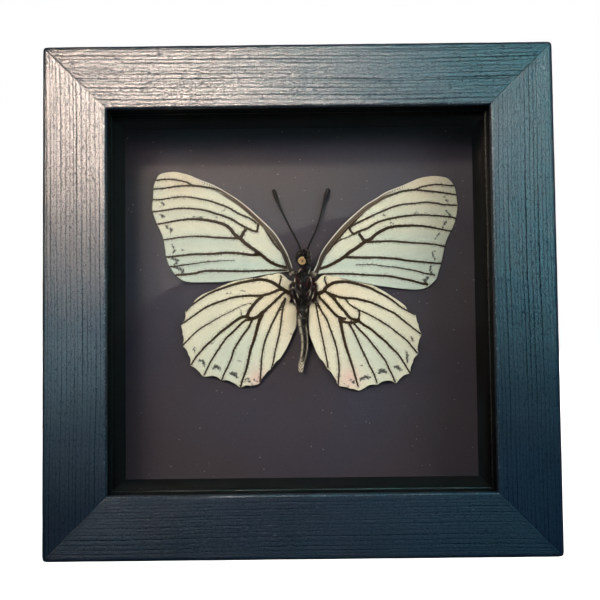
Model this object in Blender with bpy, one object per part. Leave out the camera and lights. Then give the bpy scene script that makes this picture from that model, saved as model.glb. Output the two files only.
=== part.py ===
"""Framed butterfly specimen: a mitred wooden box frame with glass, spacers, a paper-covered mount board
and a back panel, holding one set butterfly with its underside to the front.

Metres, +Z up. The frame stands on its bottom rail and faces -Y. The origin is at the middle of its base.
"""

import math

import bmesh
import bpy
from mathutils import Vector

MM = 0.001
GAP = 0.3 * MM  # left between pieces that touch

# Wooden frame. Depths are measured from the front face of the rails, going back.
FRAME_SIDE = 127.0 * MM
FRAME_DEPTH = 32.0 * MM
RAIL_FACE = 16.0 * MM
RAIL_WALL = 10.0 * MM
LIP_THICKNESS = 4.5 * MM
OUTER_ARRIS = 1.2 * MM
INNER_ARRIS = 0.6 * MM
BACK_CHAMFER = 0.5 * MM
ARRIS_STEPS = 4  # flats that stand for a quarter round
MITRE_SETBACK = 0.2 * MM

# What fills the rebate, front to back.
GLASS_THICKNESS = 2.0 * MM
BOARD_FRONT = 23.0 * MM
BOARD_THICKNESS = 2.0 * MM
PANEL_THICKNESS = 3.0 * MM
SPACER_THICKNESS = 4.5 * MM

# Flat metal points, pushed into slots in the rebate wall, two to a rail.
POINT_LENGTH = 14.2 * MM
POINT_WIDTH = 6.0 * MM
POINT_THICKNESS = 0.5 * MM
POINT_BURIED = 4.7 * MM
POINT_CLIP = 1.5 * MM  # taken off the corners of the free end
POINT_OFFSET = 28.0 * MM

# Sawtooth hanger and its two nails, at the back of the top rail.
HANGER_LENGTH = 40.0 * MM
HANGER_HEIGHT = 8.0 * MM
HANGER_THICKNESS = 0.8 * MM
HANGER_LIFT = 0.7 * MM
HANGER_TEETH = 9
TOOTH_HEIGHT = 1.6 * MM
NAIL_OFFSET = 17.0 * MM
NAIL_SHANK_RADIUS = 0.6 * MM
NAIL_HEAD_RADIUS = 1.7 * MM
NAIL_HEAD_THICKNESS = 0.7 * MM
NAIL_LENGTH = 7.5 * MM
NAIL_TIP_RADIUS = 0.1 * MM
NAIL_CROWN_RADIUS = 0.94 * MM  # flat on top of the head

# Butterfly, placed by the middle of its wing roots.
BUTTERFLY_X = 0.9 * MM
BUTTERFLY_RISE = 9.0 * MM  # above the middle of the frame
WING_THICKNESS = 0.24 * MM
FOREWING_DEPTH = 21.5 * MM
HINDWING_DEPTH = 20.9 * MM
FOREWING_DROOP = 0.012  # how far a wing sinks towards the board for each unit of span
HINDWING_DROOP = 0.010

HALF_SIDE = FRAME_SIDE / 2
REBATE_HALF = HALF_SIDE - RAIL_WALL
INSERT_HALF = REBATE_HALF - GAP
GLASS_FRONT = LIP_THICKNESS + GAP
SPACER_FRONT = GLASS_FRONT + GLASS_THICKNESS + GAP
SPACER_BACK = BOARD_FRONT - GAP
PANEL_FRONT = BOARD_FRONT + BOARD_THICKNESS + GAP
POINT_FRONT = PANEL_FRONT + PANEL_THICKNESS + GAP
HANGER_FRONT = FRAME_DEPTH + GAP
NAIL_HEAD_FRONT = HANGER_FRONT + HANGER_THICKNESS + GAP
TOTAL_DEPTH = NAIL_HEAD_FRONT + NAIL_HEAD_THICKNESS
FRONT_Y = -TOTAL_DEPTH / 2

# Wing outlines in mm from the wing roots, +X to the right and +Z up, as seen from the front.
# Each starts at the front edge of the root and runs out, round the margin and back to the root.
FOREWING_LEFT = [
    (-3.2, 0.6), (-4.5, 4.9), (-6.2, 7.9), (-7.9, 10.4), (-10.1, 12.7), (-12.3, 14.8), (-15.1, 17.4),
    (-18.0, 19.8), (-22.0, 22.3), (-25.1, 24.0), (-28.4, 25.3), (-31.5, 26.6), (-35.1, 27.5),
    (-38.2, 27.4), (-40.1, 26.5), (-41.2, 24.4), (-41.7, 21.0), (-42.0, 17.9), (-41.4, 15.0),
    (-40.3, 12.2), (-39.2, 10.0), (-38.6, 7.0), (-38.1, 3.7), (-37.3, 1.3), (-35.6, -1.3),
    (-33.4, -3.0), (-30.0, -3.5), (-25.0, -3.5), (-20.0, -3.2), (-14.0, -2.2), (-8.0, -1.3), (-4.2, -0.7),
]  # fmt: skip
FOREWING_RIGHT = [
    (3.2, 0.0), (5.1, 4.6), (6.8, 7.1), (9.1, 9.9), (11.1, 12.1), (13.1, 14.0), (15.4, 16.0),
    (17.8, 17.8), (20.5, 19.4), (23.0, 21.0), (25.6, 22.2), (30.0, 24.0), (34.1, 25.3), (37.5, 25.6),
    (40.9, 24.7), (42.1, 23.2), (42.9, 20.5), (43.3, 16.8), (42.7, 13.2), (41.4, 10.1), (40.1, 7.6),
    (39.3, 4.8), (38.4, 1.1), (37.3, -2.3), (35.6, -4.7), (33.4, -5.9), (30.0, -6.1), (25.2, -5.6),
    (20.2, -4.9), (14.0, -3.6), (8.9, -2.4), (4.4, -1.5),
]  # fmt: skip
HINDWING_LEFT = [
    (-3.4, -3.2), (-4.7, -1.9), (-7.0, -1.1), (-9.6, -1.6), (-12.6, -2.4), (-16.0, -2.7), (-19.5, -3.4),
    (-22.7, -4.6), (-25.3, -5.8), (-28.0, -7.1), (-30.5, -9.0), (-32.5, -11.4), (-33.2, -13.5),
    (-34.0, -15.8), (-33.6, -18.4), (-33.3, -21.0), (-32.0, -23.7), (-31.2, -26.5), (-29.3, -28.4),
    (-27.6, -29.7), (-25.2, -29.8), (-22.7, -30.6), (-20.2, -31.3), (-17.5, -32.5), (-14.6, -32.4),
    (-12.6, -31.8), (-10.6, -29.5), (-8.0, -26.6), (-5.8, -23.7), (-4.0, -20.4), (-2.6, -17.2),
    (-2.1, -15.0), (-2.4, -11.8), (-3.3, -9.2), (-3.9, -7.0),
]  # fmt: skip
HINDWING_RIGHT = [
    (3.4, -3.4), (4.2, -2.4), (6.0, -1.7), (9.1, -2.1), (13.0, -3.3), (16.5, -4.1), (20.8, -5.7),
    (24.5, -8.0), (27.7, -10.3), (30.4, -12.7), (31.5, -14.5), (32.4, -18.2), (32.1, -20.6),
    (31.4, -23.9), (30.2, -26.5), (28.9, -29.4), (27.0, -30.6), (25.1, -31.8), (22.4, -31.5),
    (20.0, -32.3), (17.2, -32.9), (14.9, -33.7), (12.0, -33.2), (9.6, -32.6), (8.0, -30.4),
    (5.1, -26.2), (3.2, -22.6), (1.9, -19.0), (1.5, -15.5), (1.7, -12.2), (2.7, -9.9), (3.6, -7.0),
]  # fmt: skip

# Body. Stations along the abdomen: height, centre across, half width, half depth, depth of its centre.
THORAX_MIDDLE = (0.0, -4.9, 19.3)  # across, height, depth
THORAX_HALF = (2.7, 5.0, 2.5)
HEAD_MIDDLE = (0.15, 2.4, 18.7)
HEAD_HALF = (1.6, 1.9, 1.5)
ABDOMEN = [
    (-10.2, -0.3, 1.1, 1.1, 19.5), (-11.4, -0.45, 1.6, 1.4, 19.4), (-13.4, -0.45, 1.6, 1.4, 19.3),
    (-15.8, -0.3, 1.25, 1.3, 19.3), (-18.6, 0.1, 1.05, 1.2, 19.2), (-21.4, 0.15, 1.0, 1.1, 19.2),
    (-23.8, -0.2, 0.85, 0.95, 19.3), (-26.2, -0.75, 0.75, 0.8, 19.5), (-28.4, -0.9, 0.5, 0.5, 19.6),
]  # fmt: skip
GLUE_DEPTHS = (22.1, 22.7)
GLUE_RADIUS = 1.9

# Thin limbs as (across, height, depth, radius) in mm.
ANTENNA_LEFT = [
    (-0.5, 4.8, 19.6, 0.2), (-1.2, 6.6, 20.0, 0.18), (-2.3, 9.0, 20.4, 0.18), (-3.5, 11.3, 20.7, 0.18),
    (-4.8, 14.0, 21.0, 0.19), (-5.9, 16.4, 21.2, 0.2), (-6.8, 18.6, 21.3, 0.28), (-7.4, 20.2, 21.4, 0.4),
    (-7.9, 21.9, 21.5, 0.38), (-8.0, 22.3, 21.5, 0.2),
]  # fmt: skip
ANTENNA_RIGHT = [
    (1.0, 4.7, 19.6, 0.2), (1.6, 6.2, 20.0, 0.18), (2.5, 8.1, 20.4, 0.18), (3.4, 10.0, 20.7, 0.18),
    (4.2, 12.1, 21.0, 0.18), (4.9, 14.4, 21.1, 0.19), (5.5, 16.6, 21.2, 0.2), (6.1, 18.8, 21.3, 0.28),
    (6.6, 20.3, 21.4, 0.42), (7.2, 22.0, 21.5, 0.42), (7.3, 22.4, 21.5, 0.22),
]  # fmt: skip
PALP_LEFT = [
    (-1.6, 1.4, 17.0, 0.34), (-1.55, 2.6, 16.7, 0.36), (-1.2, 3.6, 16.8, 0.3), (-0.8, 4.4, 17.1, 0.14),
]
PALP_RIGHT = [
    (1.6, 1.2, 17.0, 0.34), (1.65, 2.4, 16.7, 0.36), (1.5, 3.5, 16.8, 0.3), (1.2, 4.5, 17.1, 0.14),
]
FORELEG_LEFT = [
    (-1.5, -1.9, 16.9, 0.22), (-0.9, -0.7, 16.4, 0.25), (0.0, -0.3, 16.3, 0.22), (0.9, 0.0, 16.4, 0.12),
]
FORELEG_RIGHT = [
    (1.4, -1.8, 16.9, 0.22), (1.8, -0.6, 16.6, 0.25), (1.95, 0.1, 16.6, 0.22), (1.9, 0.7, 16.8, 0.12),
]
MIDLEG_LEFT = [
    (-0.7, -5.3, 15.9, 0.34), (-1.3, -3.6, 15.5, 0.36), (-1.9, -2.6, 15.7, 0.28), (-2.3, -3.2, 15.8, 0.26),
    (-2.2, -5.0, 15.5, 0.25), (-1.8, -6.8, 15.5, 0.2), (-1.3, -8.6, 15.7, 0.14),
]  # fmt: skip
MIDLEG_RIGHT = [
    (0.8, -5.5, 15.9, 0.34), (1.1, -3.9, 15.5, 0.36), (1.6, -2.8, 15.7, 0.28), (2.1, -3.3, 15.8, 0.26),
    (2.1, -5.1, 15.5, 0.25), (1.8, -7.0, 15.5, 0.2), (1.4, -8.7, 15.7, 0.14),
]  # fmt: skip
HINDLEG_LEFT = [
    (-0.6, -7.4, 16.4, 0.3), (-1.7, -6.3, 16.5, 0.3), (-2.8, -5.4, 16.9, 0.28), (-3.1, -6.2, 17.1, 0.26),
    (-2.7, -8.2, 17.0, 0.24), (-1.8, -10.6, 16.9, 0.2), (-1.2, -12.3, 17.2, 0.17), (-0.6, -13.3, 17.4, 0.12),
]  # fmt: skip
HINDLEG_RIGHT = [
    (0.6, -7.6, 16.4, 0.3), (1.7, -6.2, 16.5, 0.3), (2.7, -5.1, 16.9, 0.28), (3.0, -5.9, 17.1, 0.26),
    (2.5, -8.0, 17.0, 0.24), (1.3, -10.2, 16.9, 0.2), (0.8, -11.4, 17.2, 0.18), (0.5, -12.6, 17.4, 0.12),
]  # fmt: skip

PROBOSCIS_MIDDLE = (-0.2, 1.7, 16.4)
PROBOSCIS_TURNS = 2.0
PROBOSCIS_OUTER = 1.03
PROBOSCIS_INNER = 0.3
PROBOSCIS_RADIUS = 0.15
PROBOSCIS_STEPS = 26


def clear_scene():
    for obj in list(bpy.data.objects):
        bpy.data.objects.remove(obj)


def material(name, color, roughness, metallic=0.0, transmission=0.0):
    made = bpy.data.materials.new(name)
    made.use_nodes = True
    shader = made.node_tree.nodes["Principled BSDF"]
    shader.inputs["Base Color"].default_value = (*color, 1.0)
    shader.inputs["Roughness"].default_value = roughness
    shader.inputs["Metallic"].default_value = metallic
    shader.inputs["Transmission Weight"].default_value = transmission
    return made


def make_object(name, bm, finish, smooth_angle=None):
    """Turns a bmesh into a scene object, with its faces pointing out."""
    bmesh.ops.recalc_face_normals(bm, faces=bm.faces)
    mesh = bpy.data.meshes.new(name)
    bm.to_mesh(mesh)
    bm.free()
    if smooth_angle is not None:
        mesh.shade_smooth()
        mesh.set_sharp_from_angle(angle=math.radians(smooth_angle))
    if finish:
        mesh.materials.append(finish)
    obj = bpy.data.objects.new(name, mesh)
    bpy.context.scene.collection.objects.link(obj)
    return obj


def add_box(bm, low, high):
    """A box between two corners."""
    verts = bmesh.ops.create_cube(bm, size=1.0)["verts"]
    low, high = Vector(low), Vector(high)
    for v in verts:
        v.co = (low + high) / 2 + Vector(a * b for a, b in zip(v.co, high - low))


def box_object(name, low, high, finish):
    bm = bmesh.new()
    add_box(bm, low, high)
    return make_object(name, bm, finish)


def cut(obj, cutter):
    """Subtracts a hidden cutter."""
    cutter.hide_render = True
    cutter.display_type = "WIRE"
    modifier = obj.modifiers.new(cutter.name, "BOOLEAN")
    modifier.operation = "DIFFERENCE"
    modifier.object = cutter


def loft(bm, rings):
    """Joins rings of points, all of one length, into a closed skin with flat ends."""
    made = [[bm.verts.new(point) for point in ring] for ring in rings]
    count = len(made[0])
    for near, far in zip(made, made[1:]):
        for i in range(count):
            j = (i + 1) % count
            bm.faces.new((near[i], near[j], far[j], far[i]))
    bm.faces.new(made[0])
    bm.faces.new(reversed(made[-1]))


def turned(name, profile, middle, finish, segments=16):
    """Turns a profile of (depth, radius) about a line that runs front to back through middle (x, z)."""
    bm = bmesh.new()
    rings = []
    for depth, radius in profile:
        ring = []
        for i in range(segments):
            angle = 2 * math.pi * i / segments
            ring.append(
                (middle[0] + radius * math.cos(angle), FRONT_Y + depth, middle[1] + radius * math.sin(angle))
            )
        rings.append(ring)
    loft(bm, rings)
    return make_object(name, bm, finish, smooth_angle=40)


# ---- frame


def rail_profile():
    """The rail's section as (distance in from the outer face, depth), going round it once."""
    turns = [math.pi / 2 * i / ARRIS_STEPS for i in range(ARRIS_STEPS + 1)]
    outer = [(OUTER_ARRIS * (1 - math.sin(a)), OUTER_ARRIS * (1 - math.cos(a))) for a in turns]
    inner = [(INNER_ARRIS * (1 - math.sin(a)), INNER_ARRIS * (1 - math.cos(a))) for a in turns]
    points = outer[::-1] + [(RAIL_FACE - inward, depth) for inward, depth in inner]
    points += [
        (RAIL_FACE, LIP_THICKNESS),
        (RAIL_WALL, LIP_THICKNESS),
        (RAIL_WALL, FRAME_DEPTH),
        (BACK_CHAMFER, FRAME_DEPTH),
        (0.0, FRAME_DEPTH - BACK_CHAMFER),
    ]
    return points


def rail(name, turn, finish):
    """One mitred rail, made as the bottom one about the middle of the frame and turned into its place."""
    bm = bmesh.new()
    rings = []
    for side in (-1, 1):
        ring = []
        for inward, depth in rail_profile():
            along = side * (HALF_SIDE - inward - MITRE_SETBACK)
            ring.append((along, FRONT_Y + depth, inward - HALF_SIDE))
        rings.append(ring)
    loft(bm, rings)
    obj = make_object(name, bm, finish, smooth_angle=35)
    obj.location = (0, 0, HALF_SIDE)
    obj.rotation_euler = (0, turn, 0)
    for along in (-POINT_OFFSET, POINT_OFFSET):
        slot = bmesh.new()
        half = POINT_WIDTH / 2 + GAP
        inner = RAIL_WALL - HALF_SIDE
        add_box(
            slot,
            (along - half, FRONT_Y + POINT_FRONT - GAP, inner - POINT_BURIED - GAP),
            (along + half, FRONT_Y + POINT_FRONT + POINT_THICKNESS + GAP, inner + GAP),
        )
        cutter = make_object(f"{name}_slot", slot, None)
        cutter.parent = obj
        cut(obj, cutter)
    return obj


def frame_rails(finish):
    quarter = math.pi / 2
    made = {}
    for side, turns in (("bottom", 0), ("left", 1), ("top", 2), ("right", 3)):
        made[side] = rail(f"rail_{side}", turns * quarter, finish)
    return made


def rebate_inserts(glass, black, paper, fibreboard):
    low, high = HALF_SIDE - INSERT_HALF, HALF_SIDE + INSERT_HALF

    def sheet(name, front, thickness, finish):
        box_object(
            name,
            (-INSERT_HALF, FRONT_Y + front, low),
            (INSERT_HALF, FRONT_Y + front + thickness, high),
            finish,
        )

    sheet("glass_pane", GLASS_FRONT, GLASS_THICKNESS, glass)
    sheet("mount_board", BOARD_FRONT, BOARD_THICKNESS, paper)
    sheet("back_panel", PANEL_FRONT, PANEL_THICKNESS, fibreboard)
    near, far = FRONT_Y + SPACER_FRONT, FRONT_Y + SPACER_BACK
    inner = INSERT_HALF - SPACER_THICKNESS
    for name, a, b in (("bottom", low, low + SPACER_THICKNESS), ("top", high - SPACER_THICKNESS, high)):
        box_object(f"spacer_{name}", (-INSERT_HALF, near, a), (INSERT_HALF, far, b), black)
    short = SPACER_THICKNESS + GAP
    for name, a, b in (("left", -INSERT_HALF, -inner), ("right", inner, INSERT_HALF)):
        box_object(f"spacer_{name}", (a, near, low + short), (b, far, high - short), black)


def retaining_point(name, along, turn, finish):
    """A flat blade with a sharp driven end and a clipped free end, made at the bottom rail and turned."""
    half = POINT_WIDTH / 2
    tip = RAIL_WALL - POINT_BURIED - HALF_SIDE
    free = tip + POINT_LENGTH
    outline = [
        (along, tip),
        (along + half, tip + half),
        (along + half, free - POINT_CLIP),
        (along + half - POINT_CLIP, free),
        (along - half + POINT_CLIP, free),
        (along - half, free - POINT_CLIP),
        (along - half, tip + half),
    ]
    bm = bmesh.new()
    near = FRONT_Y + POINT_FRONT
    loft(bm, [[(x, y, z) for x, z in outline] for y in (near, near + POINT_THICKNESS)])
    obj = make_object(name, bm, finish)
    obj.location = (0, 0, HALF_SIDE)
    obj.rotation_euler = (0, turn, 0)


def retaining_points(finish):
    for i in range(8):
        along = POINT_OFFSET if i % 2 else -POINT_OFFSET
        retaining_point(f"retaining_point_{i + 1}", along, (i // 2) * math.pi / 2, finish)


def nail_places():
    height = FRAME_SIDE - RAIL_WALL / 2
    return [("left", (-NAIL_OFFSET, height)), ("right", (NAIL_OFFSET, height))]


def hanger_plate(finish):
    """A strip with flat ends, a lifted middle and a sawtooth lower edge."""
    top = FRAME_SIDE - (RAIL_WALL - HANGER_HEIGHT) / 2
    bottom = top - HANGER_HEIGHT
    toothed = NAIL_OFFSET - 2 * NAIL_HEAD_RADIUS
    columns = [(-HANGER_LENGTH / 2, bottom, 0.0), (-toothed - HANGER_LIFT, bottom, 0.0)]
    for i in range(2 * HANGER_TEETH + 1):
        x = toothed * (i / HANGER_TEETH - 1)
        columns.append((x, bottom + (TOOTH_HEIGHT if i % 2 else 0.0), HANGER_LIFT))
    columns += [(toothed + HANGER_LIFT, bottom, 0.0), (HANGER_LENGTH / 2, bottom, 0.0)]
    rings = []
    for x, low, lift in columns:
        near = FRONT_Y + HANGER_FRONT + lift
        far = near + HANGER_THICKNESS
        rings.append([(x, near, low), (x, far, low), (x, far, top), (x, near, top)])
    bm = bmesh.new()
    loft(bm, rings)
    obj = make_object("hanger_plate", bm, finish)
    for side, middle in nail_places():
        radius = NAIL_SHANK_RADIUS + GAP
        span = [(HANGER_FRONT - GAP, radius), (HANGER_FRONT + HANGER_THICKNESS + GAP, radius)]
        cut(obj, turned(f"hanger_hole_{side}", span, middle, None))


def hanger_nails(top_rail, finish):
    """Two round-headed nails through the hanger's ends, each in a blind hole in the top rail."""
    for side, middle in nail_places():
        under_head = NAIL_HEAD_FRONT
        profile = [
            (under_head - NAIL_LENGTH - HANGER_THICKNESS, NAIL_TIP_RADIUS),
            (under_head - NAIL_LENGTH, NAIL_SHANK_RADIUS),
            (under_head, NAIL_SHANK_RADIUS),
            (under_head, NAIL_HEAD_RADIUS),
            (under_head + NAIL_HEAD_THICKNESS / 2, NAIL_HEAD_RADIUS),
            (under_head + NAIL_HEAD_THICKNESS, NAIL_CROWN_RADIUS),
        ]
        turned(f"hanger_nail_{side}", profile, middle, finish)
        radius = NAIL_SHANK_RADIUS + GAP
        hole = [(under_head - NAIL_LENGTH - HANGER_THICKNESS - GAP, radius), (FRAME_DEPTH + GAP, radius)]
        cut(top_rail, turned(f"nail_hole_{side}", hole, middle, None))


# ---- butterfly


def butterfly_point(across, height, depth):
    """A place on the butterfly, given in mm, in the frame's own metres."""
    return Vector(
        (
            BUTTERFLY_X + across * MM,
            FRONT_Y + depth * MM,
            HALF_SIDE + BUTTERFLY_RISE + height * MM,
        )
    )


def curve_point(a, b, c, d, t):
    """The place a share t of the way from b to c on a Catmull-Rom curve through four points."""
    bent = (2 * a - 5 * b + 4 * c - d) * t**2 + (3 * b - a - 3 * c + d) * t**3
    return 0.5 * (2 * b + (c - a) * t + bent)


def smooth_ring(points, pieces):
    """Points along a closed Catmull-Rom curve through the given ones."""
    count = len(points)
    out = []
    for i in range(count):
        a, b, c, d = (Vector(points[(i + k) % count]) for k in (-1, 0, 1, 2))
        for step in range(pieces):
            t = step / pieces
            out.append(curve_point(a, b, c, d, t))
    return out


def wing(name, outline, depth, droop, finish):
    """A thin plate inside an outline, sinking a little towards the board from root to tip."""
    edge = smooth_ring(outline, 2)
    root = (edge[0] + Vector(outline[-1])) / 2
    root = root.lerp(sum(edge, Vector((0, 0))) / len(edge), 0.3)
    shares = (1.0, 0.66, 0.33)
    bm = bmesh.new()
    skins = []
    for face in (-0.5, 0.5):
        rows = []
        for share in shares:
            row = []
            for point in edge:
                x, z = root.lerp(point, share)
                place = butterfly_point(x, z, 0)
                place.y = FRONT_Y + depth + droop * abs(x) * MM + face * WING_THICKNESS
                row.append(bm.verts.new(place))
            rows.append(row)
        middle = butterfly_point(root.x, root.y, 0)
        middle.y = FRONT_Y + depth + droop * abs(root.x) * MM + face * WING_THICKNESS
        skins.append((rows, bm.verts.new(middle)))
    count = len(edge)
    for rows, middle in skins:
        for i in range(count):
            j = (i + 1) % count
            for outer, inner in zip(rows, rows[1:]):
                bm.faces.new((outer[i], outer[j], inner[j], inner[i]))
            bm.faces.new((rows[-1][i], rows[-1][j], middle))
    front, back = skins[0][0][0], skins[1][0][0]
    for i in range(count):
        j = (i + 1) % count
        bm.faces.new((front[i], front[j], back[j], back[i]))
    return make_object(name, bm, finish, smooth_angle=40)


def ellipsoid(name, middle, half, finish, segments=20, rings=12):
    bm = bmesh.new()
    bmesh.ops.create_uvsphere(bm, u_segments=segments, v_segments=rings, radius=1.0)
    centre = butterfly_point(*middle)
    for v in bm.verts:
        x, y, z = v.co
        v.co = centre + Vector((x * half[0], y * half[2], z * half[1])) * MM
    return make_object(name, bm, finish, smooth_angle=60)


def abdomen(finish, segments=14):
    bm = bmesh.new()
    rings = []
    for height, across, half_width, half_depth, depth in ABDOMEN:
        ring = []
        for i in range(segments):
            angle = 2 * math.pi * i / segments
            ring.append(
                butterfly_point(
                    across + half_width * math.cos(angle), height, depth + half_depth * math.sin(angle)
                )
            )
        rings.append(ring)
    loft(bm, rings)
    return make_object("butterfly_abdomen", bm, finish, smooth_angle=60)


def limb(name, route, finish, sides=8, pieces=2):
    """A tapering tube along a smooth route of (across, height, depth, radius)."""
    stations = []
    count = len(route)
    for i in range(count - 1):
        picks = (max(i - 1, 0), i, i + 1, min(i + 2, count - 1))
        a, b, c, d = (Vector(route[k][:3]) for k in picks)
        for step in range(pieces):
            t = step / pieces
            stations.append((curve_point(a, b, c, d, t), route[i][3] * (1 - t) + route[i + 1][3] * t))
    stations.append((Vector(route[-1][:3]), route[-1][3]))
    bm = bmesh.new()
    rings = []
    side = Vector((0, 0, 1))
    for i, (place, radius) in enumerate(stations):
        before, after = stations[max(i - 1, 0)][0], stations[min(i + 1, len(stations) - 1)][0]
        along = (after - before).normalized()
        # The last ring's sideways direction is carried on, so that the tube doesn't twist.
        side = (side - side.dot(along) * along).normalized()
        other = along.cross(side)
        ring = []
        for k in range(sides):
            angle = 2 * math.pi * k / sides
            out = math.cos(angle) * side + math.sin(angle) * other
            ring.append(butterfly_point(*(place + radius * out)))
        rings.append(ring)
    loft(bm, rings)
    return make_object(name, bm, finish, smooth_angle=60)


def proboscis(finish):
    """The tongue, wound into a flat coil that faces the front, with its root going back to the head."""
    across, height, depth = PROBOSCIS_MIDDLE
    route = [(across + 0.45, height - 1.2, depth + 0.35, PROBOSCIS_RADIUS)]
    for i in range(PROBOSCIS_STEPS + 1):
        share = i / PROBOSCIS_STEPS
        angle = -math.pi / 3 + 2 * math.pi * PROBOSCIS_TURNS * share
        radius = PROBOSCIS_OUTER + (PROBOSCIS_INNER - PROBOSCIS_OUTER) * share
        route.append(
            (
                across + radius * math.cos(angle),
                height + radius * math.sin(angle),
                depth,
                PROBOSCIS_RADIUS * (1 - 0.3 * share),
            )
        )
    return limb("proboscis", route, finish, sides=8, pieces=1)


def butterfly():
    pale = material("pale_wing_scales", (0.80, 0.78, 0.60), 0.75)
    chitin = material("dark_body", (0.03, 0.022, 0.018), 0.5)
    gold = material("tongue", (0.55, 0.36, 0.14), 0.45)
    glue = material("clear_glue", (0.65, 0.6, 0.5), 0.35)
    wing("forewing_left", FOREWING_LEFT, FOREWING_DEPTH, FOREWING_DROOP, pale)
    wing("forewing_right", FOREWING_RIGHT, FOREWING_DEPTH, FOREWING_DROOP, pale)
    wing("hindwing_left", HINDWING_LEFT, HINDWING_DEPTH, HINDWING_DROOP, pale)
    wing("hindwing_right", HINDWING_RIGHT, HINDWING_DEPTH, HINDWING_DROOP, pale)
    ellipsoid("butterfly_thorax", THORAX_MIDDLE, THORAX_HALF, chitin)
    ellipsoid("butterfly_head", HEAD_MIDDLE, HEAD_HALF, chitin, segments=16, rings=10)
    abdomen(chitin)
    limbs = {
        "antenna_left": ANTENNA_LEFT,
        "antenna_right": ANTENNA_RIGHT,
        "palp_left": PALP_LEFT,
        "palp_right": PALP_RIGHT,
        "foreleg_left": FORELEG_LEFT,
        "foreleg_right": FORELEG_RIGHT,
        "midleg_left": MIDLEG_LEFT,
        "midleg_right": MIDLEG_RIGHT,
        "hindleg_left": HINDLEG_LEFT,
        "hindleg_right": HINDLEG_RIGHT,
    }
    for name, route in limbs.items():
        limb(name, route, chitin)
    proboscis(gold)
    across, height, _ = THORAX_MIDDLE
    near, far = GLUE_DEPTHS
    place = butterfly_point(across, height, 0)
    dab = [
        (near * MM, GLUE_RADIUS * 0.7 * MM),
        ((near + 0.2) * MM, GLUE_RADIUS * 0.9 * MM),
        (far * MM, GLUE_RADIUS * MM),
    ]
    turned("glue_dab", dab, (place.x, place.z), glue)


def main():
    clear_scene()
    stained_wood = material("stained_wood", (0.03, 0.045, 0.055), 0.45)
    steel = material("zinc_steel", (0.6, 0.6, 0.6), 0.35, metallic=1.0)
    brass = material("brassed_steel", (0.66, 0.52, 0.26), 0.35, metallic=1.0)
    rails = frame_rails(stained_wood)
    rebate_inserts(
        material("clear_glass", (0.95, 0.98, 0.97), 0.02, transmission=1.0),
        material("black_spacer", (0.012, 0.012, 0.013), 0.8),
        material("charcoal_paper", (0.075, 0.065, 0.078), 0.85),
        material("fibreboard", (0.33, 0.21, 0.12), 0.8),
    )
    retaining_points(steel)
    hanger_plate(brass)
    hanger_nails(rails["top"], brass)
    butterfly()


main()
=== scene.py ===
"""Looks of the framed butterfly specimen: a brushed, dark stained box frame with glass, and one set
butterfly on charcoal paper inside it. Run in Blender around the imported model, in metres, with +Z up and the
front at -Y.
"""

import math

import bmesh
import bpy
import numpy as np
from mathutils import Matrix, Vector
from mathutils.geometry import delaunay_2d_cdt

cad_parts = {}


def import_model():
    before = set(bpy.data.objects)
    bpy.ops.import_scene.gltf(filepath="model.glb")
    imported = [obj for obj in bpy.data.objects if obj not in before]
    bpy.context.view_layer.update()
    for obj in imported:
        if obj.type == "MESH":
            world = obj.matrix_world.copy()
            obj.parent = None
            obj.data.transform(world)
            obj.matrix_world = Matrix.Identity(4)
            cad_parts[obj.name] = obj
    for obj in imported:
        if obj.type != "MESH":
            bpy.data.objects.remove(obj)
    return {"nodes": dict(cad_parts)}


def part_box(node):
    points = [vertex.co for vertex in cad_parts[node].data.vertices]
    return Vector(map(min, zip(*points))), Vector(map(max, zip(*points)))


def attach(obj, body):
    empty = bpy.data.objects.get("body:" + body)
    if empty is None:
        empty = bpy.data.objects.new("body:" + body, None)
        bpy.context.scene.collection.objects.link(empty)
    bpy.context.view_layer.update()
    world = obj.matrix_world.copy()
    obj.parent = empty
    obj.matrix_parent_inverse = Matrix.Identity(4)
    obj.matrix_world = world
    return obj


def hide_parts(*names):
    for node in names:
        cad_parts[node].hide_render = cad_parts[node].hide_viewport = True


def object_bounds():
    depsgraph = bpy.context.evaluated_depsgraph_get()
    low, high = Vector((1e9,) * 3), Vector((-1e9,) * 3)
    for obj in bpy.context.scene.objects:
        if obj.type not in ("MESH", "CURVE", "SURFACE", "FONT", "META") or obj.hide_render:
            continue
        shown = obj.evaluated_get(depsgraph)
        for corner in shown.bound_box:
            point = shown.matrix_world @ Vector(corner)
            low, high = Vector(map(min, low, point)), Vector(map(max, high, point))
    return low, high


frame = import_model()
cad_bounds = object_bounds()

# ---------------------------------------------------------------------------------------------------------
# Rails. Four lengths of softwood, L-shaped in section, mitred and glued. The faces are wire-brushed along the
# grain, so that the soft early wood lies lower than the rings, then stained blue-black and given a satin
# coat. The inner wall of the lip is painted flat black, with a thin bead of sealant against the glass.
# ---------------------------------------------------------------------------------------------------------

MM = 0.001
rail_low, rail_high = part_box("rail_left")
glass_low, glass_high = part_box("glass_pane")
FRONT = rail_low.y
BASE = cad_bounds[0][2]
HALF_SIDE = -rail_low.x / MM
FACE_WIDTH = (rail_high.x - rail_low.x) / MM
RAIL_DEPTH = (rail_high.y - rail_low.y) / MM
GAP = 0.3
LIP_DEPTH = (glass_low.y - FRONT) / MM - GAP
WALL_WIDTH = HALF_SIDE - glass_high.x / MM - GAP
OUTER_ARRIS = 1.2
INNER_ARRIS = 0.6
CORNER_RADIUS = 1.1
BACK_ARRIS = 0.5
BEAD_RADIUS = 0.26
BEAD_DEPTH = LIP_DEPTH - 0.4
MITRE_GAP = 0.02
MITRE_EASE = 0.05
RING_SPACING = (0.55, 1.25)
GROOVE_HALF_WIDTH = 0.07
GROOVE_DEPTH = 0.040


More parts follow.
